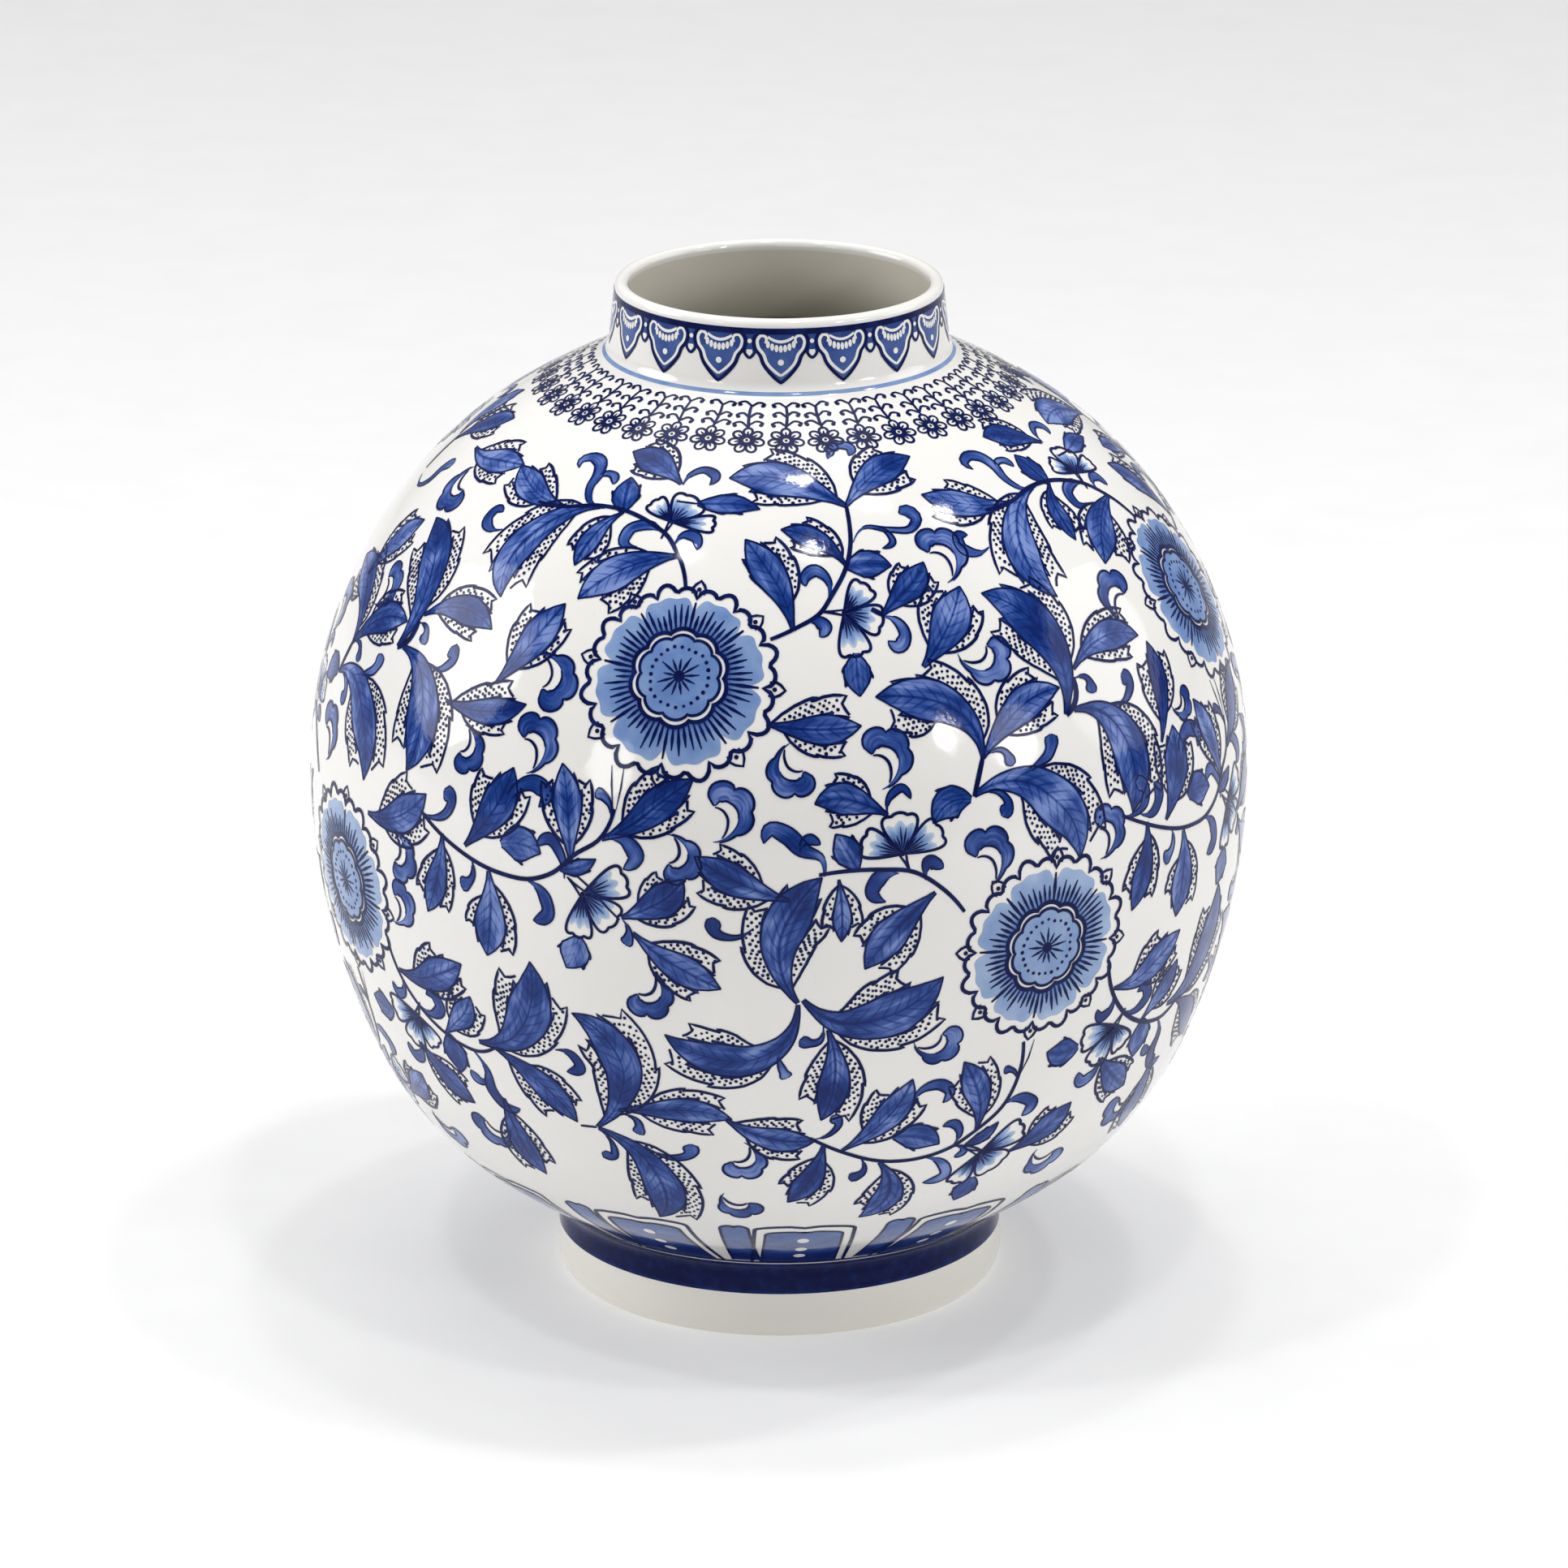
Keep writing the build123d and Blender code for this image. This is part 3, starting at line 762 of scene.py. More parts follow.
# ---------------------------------------------------------------- side spray
def side_spray():
    """Vines that climb between the large flowers."""
    s = Sheet()
    s.vine([(25.5, 17.6), (24.6, 15.2), (23.8, 13)], 1.6)
    s.vine([(38.5, 20.6), (40.6, 22.4), (41, 25)], 2.0)
    s.leaf([(25.5, 17.4), (24.8, 21.2), (21.8, 24.4), (17.4, 26), (12.4, 26.4)], 2.7,
           [(-1, 0.12, 0.62, 2.4), (1, 0.5, 0.85, 2.2)])
    s.leaf([(25.5, 17.4), (28.8, 20.8), (33.2, 23.4), (38.4, 24.2)], 2.2,
           [(1, 0.34, 0.76, 1.6), (-1, 0.3, 0.82, 1.6)])
    s.brush([(25.6, 17.5), (28.4, 17.9), (29.2, 15.9)], 1.2, "bone")
    s.brush([(30.6, 14.6), (33, 15.6), (34.6, 16.4), (35.5, 18.8)], 1.9, "bone")
    s.leaf([(23.8, 13.1), (27.2, 14.2), (31.2, 13.6), (34.6, 11), (37, 8), (37.8, 3.2)], 2.9,
           [(1, 0.42, 0.88, 2.2), (-1, 0.34, 0.85, 2.3)])
    s.brush([(24.6, 13.1), (27.2, 13), (28.2, 11.6), (27.2, 10.2)], 1.5, "bone")
    s.bud([(23.4, 12.7), (21, 12.8), (18.4, 10.4)], 1.9)
    s.curl((24.5, 31), (32.2, 29.6), 1)
    s.leaf([(19.3, 29.8), (22.4, 33), (25.2, 36.6), (27.5, 40.6)], 2.9,
           [(1, 0.22, 0.8, 2.2), (-1, 0.25, 0.78, 1.5)])
    s.curl((12.4, 15), (12.9, 22.5), 1)
    s.leaf([(12.9, 11.9), (10, 13.4), (7.2, 14.2), (4.2, 13.6)], 1.9,
           [(1, 0.2, 0.75, 1.5), (-1, 0.3, 0.7, 1.0)])
    s.brush([(12.9, 11.8), (13.2, 14), (14.8, 15), (15.8, 13.6)], 1.0)
    s.blossom((14.5, 7.2), (15.3, 5.1), [(159, 5.2, 28), (93, 4.9, 38), (27, 5.5, 28)])
    s.curl((25.3, 2), (24.4, 9.1), 1)
    s.bud([(9.1, 5.7), (8.2, 7.4), (6.6, 10)], 1.6)
    s.vine([(4.6, 5.2), (8.9, 5.6), (12, 5.5), (15.6, 5), (19, 2.8), (22, -0.6)])
    s.brush([(5.2, 5), (4.9, 7.2), (2.8, 8.2), (0.9, 10), (-1, 10.7), (-1.8, 9)], 2.1)
    s.brush([(2.4, 7.8), (3.2, 9.4), (4.8, 8.8)], 1.2)
    s.brush([(14, 4.9), (11.6, 4.4), (10.8, 2.8), (12.4, 1.6)], 1.8, "crescent")
    s.brush([(17.2, 3.8), (17.6, 5.8), (19.4, 5)], 1.7)
    s.leaf([(38.4, 20.7), (39.8, 26), (38.6, 31.4), (35, 36.4), (30.6, 39)], 3.3,
           [(1, 0.2, 0.75, 2.6), (-1, 0.3, 0.72, 2.4)])
    s.leaf([(41.5, 26), (46, 28.4), (51, 28.8), (55.5, 27.3)], 2.1,
           [(1, 0.22, 0.8, 1.4), (-1, 0.2, 0.78, 1.5)])
    s.curl((53.6, 29.5), (56.2, 37), -1)
    s.brush([(41, 24.8), (43.3, 24.4), (43.4, 22.4)], 1.5, "bone")
    s.leaf([(39.8, 21), (44, 20), (47.2, 16), (48, 11), (46.8, 6.8)], 3.0,
           [(1, 0.3, 0.85, 2.3), (-1, 0.22, 0.8, 2.2)])
    s.brush([(46.4, 20.2), (49.4, 20.6), (50.6, 22.2), (49.4, 23.4)], 1.9, "bone")
    s.leaf([(54, 13.6), (55.6, 17), (56.6, 21), (56.8, 26.2)], 1.7,
           [(1, 0.2, 0.75, 2.1), (-1, 0.3, 0.8, 1.5)])
    s.curl((57.8, 17.2), (62.6, 17.2), 1)
    s.brush([(48.2, 6.2), (50.8, 6), (52, 7.8), (51.2, 9.4)], 1.6)
    s.curl((41, 2.4), (43, 8.6), 1)
    return s


# ---------------------------------------------------------------- lower spray
def lower_spray():
    """The second large flower and the vines that run round the lower bowl."""
    s = Sheet()
    # Painted reflection: this flower's wash is thinned by 0.09 so that it looks paler, as if glare lay on
    # it.
    s.flower((33.3, -7), 11.6, 0.09)
    # right of the flower
    s.vine([(43.4, -11.6), (44.5, -15), (47.5, -19), (52, -22), (55, -23), (58, -23.2), (61, -21.8)])
    s.leaf([(45, -15.2), (49, -15.2), (53.4, -13.4), (57.6, -11)], 2.2,
           [(1, 0.25, 0.66, 1.7), (-1, 0.4, 0.85, 1.2)])
    s.brush([(45.2, -16.2), (45, -18.3), (43.5, -18.9), (42.7, -17.6)], 1.4)
    s.brush([(47.8, -19.2), (50.8, -19.8), (52.4, -18.4), (51.4, -16.8), (50, -17.2)], 1.7)
    s.leaf([(52.4, -22), (54.6, -20), (56.9, -17.8), (58.3, -15.2)], 1.7,
           [(1, 0.3, 0.72, 1.2), (-1, 0.25, 0.85, 1.3)])
    s.bud([(52.8, -22), (53.2, -24.8), (53.2, -27.9)], 2.1)
    s.brush([(57, -23.4), (58.6, -26), (58.4, -29), (60.4, -31.6), (62.6, -31.2)], 1.9)
    s.brush([(58.4, -27.4), (56.6, -28.2), (55.4, -26.8)], 1.5)
    s.blossom((46.9, -21), (48.2, -18.9), [(187, 6.0, 27), (243, 6.0, 29), (-56, 4.9, 31)])
    s.bud([(40.6, -22.4), (38, -22.6), (35.4, -21.9)], 2.0)
    s.brush([(45.3, -25.4), (44.9, -27.8), (43, -28.6), (42, -26.8)], 1.9)
    s.leaf([(45.6, -25.6), (48, -28.2), (51, -30.8), (53.9, -32.8)], 2.2,
           [(1, 0.2, 0.75, 1.1), (-1, 0.15, 0.75, 1.3)])
    s.leaf([(33.6, -38.2), (37, -36.6), (39.8, -34.6), (42.4, -31.8)], 2.4,
           [(-1, 0.3, 0.85, 1.5), (1, 0.3, 0.7, 1.2)])
    s.curl((39.2, -39.6), (44.8, -44.6), 1)
    # small leaves between the flower and the belly
    s.leaf([(6.9, 4.6), (7.2, 2), (7.3, -0.6), (7.2, -3)], 1.1, [(1, 0.1, 0.7, 1.2), (-1, 0.1, 0.7, 1.2)])
    s.leaf([(18.4, 2.2), (15.6, 0), (12.6, -3), (10, -6.6)], 2.1,
           [(-1, 0.3, 0.75, 1.5), (1, 0.25, 0.85, 1.6)])
    s.leaf([(1.2, 2.2), (-2.6, 3.4), (-6.2, 5), (-9.9, 7.2)], 1.9,
           [(1, 0.2, 0.75, 1.6), (-1, 0.3, 0.8, 1.3)])
    s.leaf([(2.2, -10.7), (0.4, -7.2), (0, -3.2), (1.7, 1), (5, 4.9)], 2.6,
           [(-1, 0.12, 0.66, 2.1), (1, 0.15, 0.6, 2.2)])
    s.brush([(-3, -1.2), (-5.2, -2.4), (-7.4, -1.8), (-7.6, 0)], 1.6, "bone")
    s.leaf([(2.8, -10.3), (7, -13.4), (13, -13), (19.6, -8.5)], 2.9,
           [(1, 0.25, 0.72, 2.3), (-1, 0.3, 0.82, 1.9)])
    s.brush([(5.2, -13.6), (4.7, -16), (2.4, -15.8)], 1.4, "bone")
    s.curl((16.4, -17), (22.6, -17.6), 1)
    s.leaf([(5.8, -14.4), (6.8, -19), (6.6, -23.6), (5.3, -28)], 2.0,
           [(-1, 0.12, 0.72, 1.9), (1, 0.12, 0.88, 1.8)])
    s.brush([(4.2, -31.2), (6.6, -30.4), (7.6, -28.6), (6.6, -27.4)], 1.3, "bone")
    s.brush([(-0.2, -17.4), (0.2, -19.4), (1, -21.2)], 1.4, "bone")
    # the long vine
    s.vine([(-27, -31.7), (-24.6, -31.5)], 0.9)
    s.vine([(4, -31), (8.5, -33.8), (14, -36), (19.5, -36.2), (24, -34.8), (26.4, -33), (30.3, -29),
            (31.6, -24.5), (31.4, -19.4)])
    s.line([(33, -19.4), (32.6, -22), (31.6, -25)], 0.6)
    s.vine([(24, -34.8), (27, -35.6), (29.6, -37.6)], 0.9)
    s.leaf([(8.3, -33.4), (12, -30.4), (15, -26.6), (16.7, -22.4)], 2.1,
           [(1, 0.3, 0.72, 1.9), (-1, 0.2, 0.75, 1.5)])
    s.brush([(17, -26.8), (18.2, -24.2), (20.6, -23.8), (22, -25.2), (21.2, -26.8)], 1.6)
    s.bud([(15, -31.7), (18, -32), (21.8, -34)], 2.1)
    s.brush([(24, -34.6), (24.4, -32), (23.2, -30.6), (21.8, -30.9)], 1.3)
    s.leaf([(26.9, -32.6), (26.8, -28.6), (25.4, -24.6), (23.3, -20.8)], 1.9,
           [(1, 0.2, 0.75, 1.4), (-1, 0.2, 0.82, 1.4)])
    s.brush([(31.4, -25.2), (30.7, -23.6), (29.2, -23.2)], 1.0, "bone")
    s.brush([(30, -29), (33, -28.4), (35, -30), (33.8, -31.7)], 1.9)
    s.bud([(25.8, -35), (28.2, -34), (30.2, -31.8)], 1.0)
    s.brush([(24.6, -35), (25.8, -36.2), (24.6, -37)], 1.2)
    s.blossom((28.5, -37.2), (25.8, -35.6), [(28, 7.2, 26), (-44, 5.6, 44), (-112, 6.4, 23)])
    s.bud([(29, -42.4), (28.6, -45), (27.8, -48.2)], 2.0)
    s.leaf([(13.6, -36.2), (15.6, -40), (15.8, -44.6), (12.4, -49.6)], 2.4,
           [(-1, 0.18, 0.7, 1.8), (1, 0.15, 0.8, 1.6)])
    s.brush([(20, -36.2), (23, -38), (24, -40.4), (20.8, -41.7)], 1.9)
    s.leaf([(5.8, -32.2), (5.2, -36), (3.8, -40), (1.2, -44.2)], 2.0,
           [(-1, 0.2, 0.68, 1.6), (1, 0.25, 0.88, 1.7)])
    s.brush([(10.9, -35), (11.4, -38), (9.6, -39)], 1.7, "bone")
    # left half of the long vine
    s.leaf([(-24.5, -31.4), (-20.8, -26.6), (-19.6, -21), (-21.6, -16.8), (-25.6, -14.2)], 2.6,
           [(1, 0.12, 0.7, 1.9), (-1, 0.2, 0.8, 2.1)])
    s.leaf([(-21, -27.9), (-16, -27.2), (-11, -26.8), (-6, -27.9)], 1.9,
           [(1, 0.25, 0.85, 1.4), (-1, 0.2, 0.8, 1.8)])
    s.leaf([(-6.8, -27.9), (-3.4, -30.2), (0.6, -31.4), (4.8, -31.4)], 2.0,
           [(1, 0.1, 0.75, 1.8), (-1, 0.3, 0.8, 1.4)])
    s.curl((-4.6, -31.8), (-5.6, -38.6), -1)
    s.brush([(-20.8, -28.5), (-18.6, -29.4), (-18.8, -31.7)], 1.5, "bone")
    s.brush([(-18, -33.8), (-14.6, -35.4), (-12, -34.4), (-11.8, -32.6)], 1.9, "bone")
    s.leaf([(-24.4, -31.6), (-19.6, -34.6), (-17, -40), (-16.8, -45.4), (-19.2, -51)], 3.0,
           [(-1, 0.22, 0.72, 2.0), (1, 0.2, 0.85, 2.4)])
    s.brush([(-24.4, -31.8), (-22.8, -34.2), (-23.2, -36.6), (-24.8, -36.2)], 1.5, "bone")
    s.vine([(-38.6, -22), (-36.5, -21.8)], 1.2)
    s.leaf([(-37.8, -22), (-34, -24), (-30.6, -26.8), (-27.4, -31.2)], 2.2,
           [(1, 0.35, 0.8, 1.2), (-1, 0.15, 0.72, 2.0)])
    s.leaf([(-40.6, -21.6), (-35.6, -20.2), (-31.8, -15.6), (-30.8, -8.3)], 3.0,
           [(1, 0.25, 0.8, 2.3), (-1, 0.25, 0.75, 1.8)])
    s.brush([(-28.6, -20), (-26.4, -20.2), (-25.4, -22), (-27.4, -23)], 1.5)
    s.leaf([(2.2, -10.9), (0.6, -16), (-3.4, -18.6), (-8.6, -18.4), (-13.8, -15.6)], 2.3,
           [(-1, 0.42, 0.86, 1.8), (1, 0.4, 0.88, 1.8)])
    s.leaf([(-38.8, -30), (-38.6, -35), (-38, -40), (-36.6, -44.2)], 2.4,
           [(1, 0.15, 0.75, 1.8), (-1, 0.25, 0.85, 1.5)])
    s.curl((-40, -35.4), (-47, -37.8), -1)
    s.curl((-7.9, -42.2), (-3.6, -47.8), 1)
    return s


# ---------------------------------------------------------------- borders
LAPPET_FOOT = latitude(LAPPET_FOOT_HEIGHT)


def whole_ring(layer, heights, tone, columns=2):
    """A band right round the vase between two heights."""
    low, high = latitude(heights[0]), latitude(heights[1])
    lon = np.linspace(-180, 180, 241)
    share = np.linspace(0, 1, columns)
    places = np.empty((len(lon), columns, 2))
    places[..., 0] = lon[:, None]
    places[..., 1] = low + (high - low) * share[None, :]
    half = (high - low) * float(scale_at(low)) / 2
    layer.patch(places, lon[:, None], (1 - 2 * share)[None, :], half, tone, 0.0)


def lappet(centre):
    """A petal shaped panel above the foot, with a second one showing behind."""
    s = Sheet()
    crown_height = 2.2
    crown_notch = 0.6

    def arch(half_top, half_foot, top):
        """The outline of a panel: up one side, over two lobes, down the other."""
        spring = top - crown_height
        left = []
        for k in np.linspace(0, 1, 12):
            reach = half_foot + (half_top - half_foot) * k**0.8
            left.append((centre - reach, LAPPET_FOOT + (spring - LAPPET_FOOT) * k))
        crown = []
        for angle in np.linspace(pi, 0, 25):
            x = cos(angle)
            rise = crown_height * abs(sin(angle)) ** 0.5
            notch = crown_notch * max(0, 1 - abs(x) / 0.3)
            crown.append((centre + half_top * x, spring + rise - notch))
        right = [(2 * centre - x, y) for x, y in reversed(left)]
        return np.array(left[:-1] + crown + right[1:])

    outer = arch(8.3, 10.8, -52.1)
    inner = arch(6.6, 8.8, -54.2)
    back = inner * [0.36, 1] + [centre * 0.64 - 11.6, 2.2]
    back[:, 1] = np.maximum(back[:, 1], LAPPET_FOOT)
    s.line(outer, 1.2, ends=0.8)
    for shape, columns in ((inner, 9), (back, 5)):
        half = len(shape) // 2
        left, right = shape[: half + 1], shape[half:][::-1]
        shade = np.interp(left[:, 1], [LAPPET_FOOT, -69, -65.5, -53], [1.0, 0.97, 0.72, 0.66])
        s.fill(WASH, left, right, columns, shade[:, None])
        s.line(shape, 0.9, ends=0.8)
    for height in (-58.9, -65.2, -71):
        s.blob((centre, height), 1.9, RESERVE, tall=1.25)
    s.lay()


def garland_unit(centre, side):
    """A hanging blossom under three pairs of scrolls on a stem."""
    s = Sheet()
    bloom = np.array([centre, 75.9])
    turn = np.linspace(0, tau, 13)
    circle = np.stack([np.cos(turn), np.sin(turn)], 1)
    for petal in range(7):
        angle = petal * tau / 7 + pi / 2
        ray = np.array([cos(angle), sin(angle)])
        across = np.array([-ray[1], ray[0]])
        ring = bloom + ray * 2.95 + circle[:, :1] * ray * 1.35 + circle[:, 1:] * across * 1.15
        s.line(ring, 0.8, closed=True)
        s.line([bloom + ray * r for r in (1.7, 2.4, 3.1)], 0.7, ends=0.4)
    s.line(bloom + circle * 1.3, 1.2, closed=True)
    s.dot(bloom, 0.5)
    bend = 0.35 * side
    s.vine([(centre, 79.8), (centre + bend, 82.5), (centre + 1.6 * bend, 86), (centre + bend, 89)], 0.95)
    scroll = [(0, -1.4), (0.3, -0.2), (0.46, 0.35), (0.72, 0.35), (0.92, -0.1), (0.97, -0.9), (0.8, -1.35)]
    for height, reach in ((82.3, 3.9), (85.9, 3.6), (90.3, 3.9)):
        for way in (1, -1):
            lift = rng.uniform(-0.35, 0.35)
            points = [(centre + bend + way * x * reach, height + lift + y) for x, y in scroll]
            path, _ = smooth(points, 15)
            s.line(path, 0.8, ends=0.9)
            s.dot(path[-2] + (-way * 0.15, 0.1), 0.72)
            s.dot(path[-4], 0.62)
    s.lay()


def neck_panel(centre, gap):
    """A heart shaped panel hanging on the neck, with a fan of petals in it,
    and the small pendant that hangs in the gap on its right."""
    s = Sheet()

    def at(x, drop):
        """A place given across in degrees and down from the border in mm."""
        return (centre + x, latitude(NECK_BORDER - drop))

    def mirrored(points, count):
        path, _ = smooth(points, count)
        left = np.array([at(-x, drop) for x, drop in path])
        right = np.array([at(x, drop) for x, drop in path])
        return left, right

    # dark ground between the panels, with its scalloped lower edge
    across = np.linspace(-gap / 2, gap / 2, 25)
    edge = [at(x, 4.2 + 2.6 * (abs(x) / gap * 2) ** 3) for x in across]
    s.fill(WASH, [at(x, 0) for x in across], edge, 3, 0.82)
    # the heart and the pale band that follows it and curls in at the top
    heart = [(7.7, -0.2), (9.1, 1.6), (9.0, 4.2), (6.9, 6.9), (6.1, 9.0), (3.6, 12.2), (0, 15.2)]
    left, right = mirrored(heart, 29)
    s.fill(WASH, left, right, 7, 0.73)
    s.line(np.concatenate([left, right[-2::-1]]), 1.0, ends=1.0)
    band = [
        (5.2, 3.0), (5.0, 1.2), (6.6, 0.6), (7.9, 2.0), (7.6, 4.2),
        (5.7, 6.6), (4.8, 8.8), (2.6, 11.2), (0, 13.0),
    ]
    for side in mirrored(band, 37):
        s.line(side, 0.95, RESERVE, ends=0.8)
    arch, _ = smooth([(-4.4, 1.0), (0, 2.5), (4.4, 1.0)], 9)
    s.line([at(x, drop) for x, drop in arch], 0.9, RESERVE, ends=0.8)
    for step in range(-3, 4):
        s.blob(at(step * 1.45, 4.7 - 0.15 * step**2), 0.6, RESERVE, tall=1.9)
    s.blob(at(0, 8.9), 0.95, RESERVE)
    # the pendant in the gap
    pendant = [(1.5, 4.2), (1.9, 5.6), (1.1, 7.0), (0, 7.8)]
    middle = 6.0
    path, _ = smooth(pendant, 9)

    def pendant_side(way, size):
        return [at(gap / 2 + way * x * size, middle + (drop - middle) * size) for x, drop in path]

    s.fill(WASH, pendant_side(-1, 1), pendant_side(1, 1), 3, 0.82)
    s.fill(RESERVE, pendant_side(-1, 0.55), pendant_side(1, 0.55), 3, 0.5)
    for way in (1, -1):
        s.line(pendant_side(way, 1), 0.7, ends=0.8)
    s.blob(at(gap / 2, 2.4), 0.7, RESERVE)
    s.lay()


# ---------------------------------------------------------------- glazes
class Wiring:
    """Short ways to add nodes to a material."""

    def __init__(self, name):
        self.material = bpy.data.materials.new(name)
        self.material.use_nodes = True
        self.tree = self.material.node_tree
        self.shader = self.tree.nodes["Principled BSDF"]

    def add(self, kind, links=None, **settings):
        """A new node with its settings, and what feeds each of its sockets."""
        node = self.tree.nodes.new(kind)
        for name, value in settings.items():
            setattr(node, name, value)
        for socket, value in (links or {}).items():
            self.feed(node.inputs[socket], value)
        return node

    def feed(self, socket, value):
        """Link a socket to another node's, or set its value."""
        if isinstance(value, bpy.types.NodeSocket):
            self.tree.links.new(value, socket)
        else:
            socket.default_value = value

    def math(self, operation, a, b=0.0, c=0.0):
        """The result of a sum done by a node."""
        return self.add("ShaderNodeMath", {0: a, 1: b, 2: c}, operation=operation).outputs[0]

    def total(self, start, parts):
        """A sum of values, each times its share."""
        for value, share in parts:
            start = self.math("MULTIPLY_ADD", value, share, start)
        return start

    def swing(self, value):
        """A value from 0 to 1 as one about nought."""
        return self.math("SUBTRACT", value, 0.5)

    def step(self, value, low, high, out_low=0.0, out_high=1.0):
        """A value eased from one limit to another, as low turns to high."""
        node = self.add(
            "ShaderNodeMapRange",
            {"Value": value, "From Min": low, "From Max": high, "To Min": out_low, "To Max": out_high},
            interpolation_type="SMOOTHSTEP",
        )
        return node.outputs["Result"]

    def mark(self, name):
        """One of the marks that the patches of paint carry."""
        return self.add("ShaderNodeAttribute", attribute_name=name).outputs["Fac"]

    def noise(self, place, scale, detail=2.0, roughness=0.5):
        """Soft noise from 0 to 1."""
        links = {"Vector": place, "Scale": scale, "Detail": detail, "Roughness": roughness}
        return self.add("ShaderNodeTexNoise", links).outputs["Fac"]

    def ramp(self, value, stops):
        """A colour that a value picks from stops of (value, colour)."""
        node = self.add("ShaderNodeValToRGB", {"Fac": value})
        elements = node.color_ramp.elements
        while len(elements) < len(stops):
            elements.new(0.5)
        for element, (place, colour) in zip(elements, stops):
            element.position = place
            element.color = (*colour, 1)
        return node.outputs["Color"]

    def mix(self, factor, first, second):
        """The first colour turning into the second."""
        node = self.add("ShaderNodeMix", {"Factor": factor, 6: first, 7: second}, data_type="RGBA")
        return node.outputs[2]

    def place(self):
        """Where on the object a point is, in metres."""
        return self.add("ShaderNodeTexCoord").outputs["Object"]


def glaze_surface(w, gloss=0.5, grain=0.02):
    """The clear glaze that covers ware and paint alike: gloss and faint waves."""
    place = w.place()
    waves = w.noise(place, 55, 1.5)
    skin = w.noise(place, 420, 2.0)
    height = w.math("MULTIPLY_ADD", skin, grain, waves)
    bump = w.add("ShaderNodeBump", {"Height": height, "Strength": 0.4, "Distance": 0.0008})
    w.feed(w.shader.inputs["Normal"], bump.outputs["Normal"])
    rough = w.step(w.noise(place, 130, 3.0), 0.3, 0.75, 0.055, 0.11)
    w.feed(w.shader.inputs["Roughness"], rough)
    w.shader.inputs["IOR"].default_value = 1.52
    w.shader.inputs["Specular IOR Level"].default_value = gloss
    return place


def white_glaze():
    """Bare porcelain under clear glaze: warmer on the foot, with painted shade down inside the neck that
    darkens with depth.
    """
    w = Wiring("white_porcelain_glaze")
    place = glaze_surface(w)
    cloud = w.noise(place, 14, 3.0)
    specks = w.noise(place, 900, 1.0)
    base = w.ramp(cloud, [(0.3, (0.735, 0.725, 0.69)), (0.7, (0.775, 0.765, 0.74))])
    height = w.add("ShaderNodeSeparateXYZ", {"Vector": place}).outputs["Z"]
    foot = w.math("MULTIPLY", w.step(height, 0.017, 0.014), 0.8)
    base = w.mix(foot, base, (0.80, 0.77, 0.69, 1))
    speck = w.step(specks, 0.76, 0.82)
    specked = w.mix(w.math("MULTIPLY", speck, 0.35), base, (0.45, 0.44, 0.42, 1))
    # Painted shade: inside the neck the glaze is coloured darker, more so further down, for the shade that
    # falls in the bore.
    belly = (0, 0, BELLY_HEIGHT / 1000)
    from_belly = w.add("ShaderNodeVectorMath", {0: place, 1: belly}, operation="SUBTRACT")
    normal = w.add("ShaderNodeTexCoord").outputs["Normal"]
    outward = w.add("ShaderNodeVectorMath", {0: from_belly.outputs[0], 1: normal}, operation="DOT_PRODUCT")
    inward = w.step(outward.outputs["Value"], 0.0, -0.03)
    lip = LIP_CENTRE[1] / 1000
    inside = w.math("MULTIPLY", inward, w.step(height, lip - 0.0005, lip - 0.0015))
    depth = w.step(height, lip - 0.006, lip - 0.036)
    painted_bore_shade = w.mix(depth, (0.60, 0.57, 0.49, 1), (0.16, 0.15, 0.10, 1))
    w.feed(w.shader.inputs["Base Color"], w.mix(inside, specked, painted_bore_shade))
    return w.material


# Millimetres between the side veins of a leaf
VEIN_PITCH = 4.2


def cobalt_glaze():
    """Cobalt laid with a brush: dark at its rim and veins, streaked and pooled."""
    w = Wiring("cobalt_underglaze")
    place = glaze_surface(w, 0.2, 0.10)
    along, across, half = w.mark("along"), w.mark("across"), w.mark("half")
    tone, vein = w.mark("tone"), w.mark("vein")
    aside = w.math("ABSOLUTE", across)
    from_middle = w.math("MULTIPLY", aside, half)
    from_edge = w.math("SUBTRACT", half, from_middle)
    rim = w.step(from_edge, 0.7, 0.1)
    midrib = w.math("MULTIPLY", w.step(from_middle, 0.6, 0.15), vein)
    slant = w.math("SUBTRACT", along, w.math("MULTIPLY", from_middle, 1.2))
    saw = w.math("FRACT", w.math("DIVIDE", slant, VEIN_PITCH))
    near = w.math("MULTIPLY", w.math("ABSOLUTE", w.swing(saw)), VEIN_PITCH)
    short_of_rim = w.math("MULTIPLY", vein, w.step(aside, 0.9, 0.45))
    side_vein = w.math("MULTIPLY", w.step(near, 0.8, 0.1), short_of_rim)
    drawn_out = {
        "X": w.math("MULTIPLY", along, 0.05),
        "Y": w.math("MULTIPLY", from_middle, 0.55),
        "Z": w.math("MULTIPLY", tone, 60.0),
    }
    streaks = w.noise(w.add("ShaderNodeCombineXYZ", drawn_out).outputs[0], 1.0, 3.0, 0.6)
    pools = w.noise(place, 75, 2.0)
    strength = w.total(0.45, [
        (w.swing(streaks), 1.25),
        (w.swing(pools), 1.7),
        (w.swing(tone), 0.55),
        (rim, 0.35),
        (midrib, 0.36),
        (side_vein, 0.22),
    ])
    colour = w.ramp(strength, [
        (0.05, (0.17, 0.24, 0.50)),
        (0.36, (0.040, 0.085, 0.30)),
        (0.62, (0.006, 0.034, 0.19)),
        (1.0, (0.0005, 0.012, 0.11)),
    ])
    w.feed(w.shader.inputs["Base Color"], colour)
    return w.material


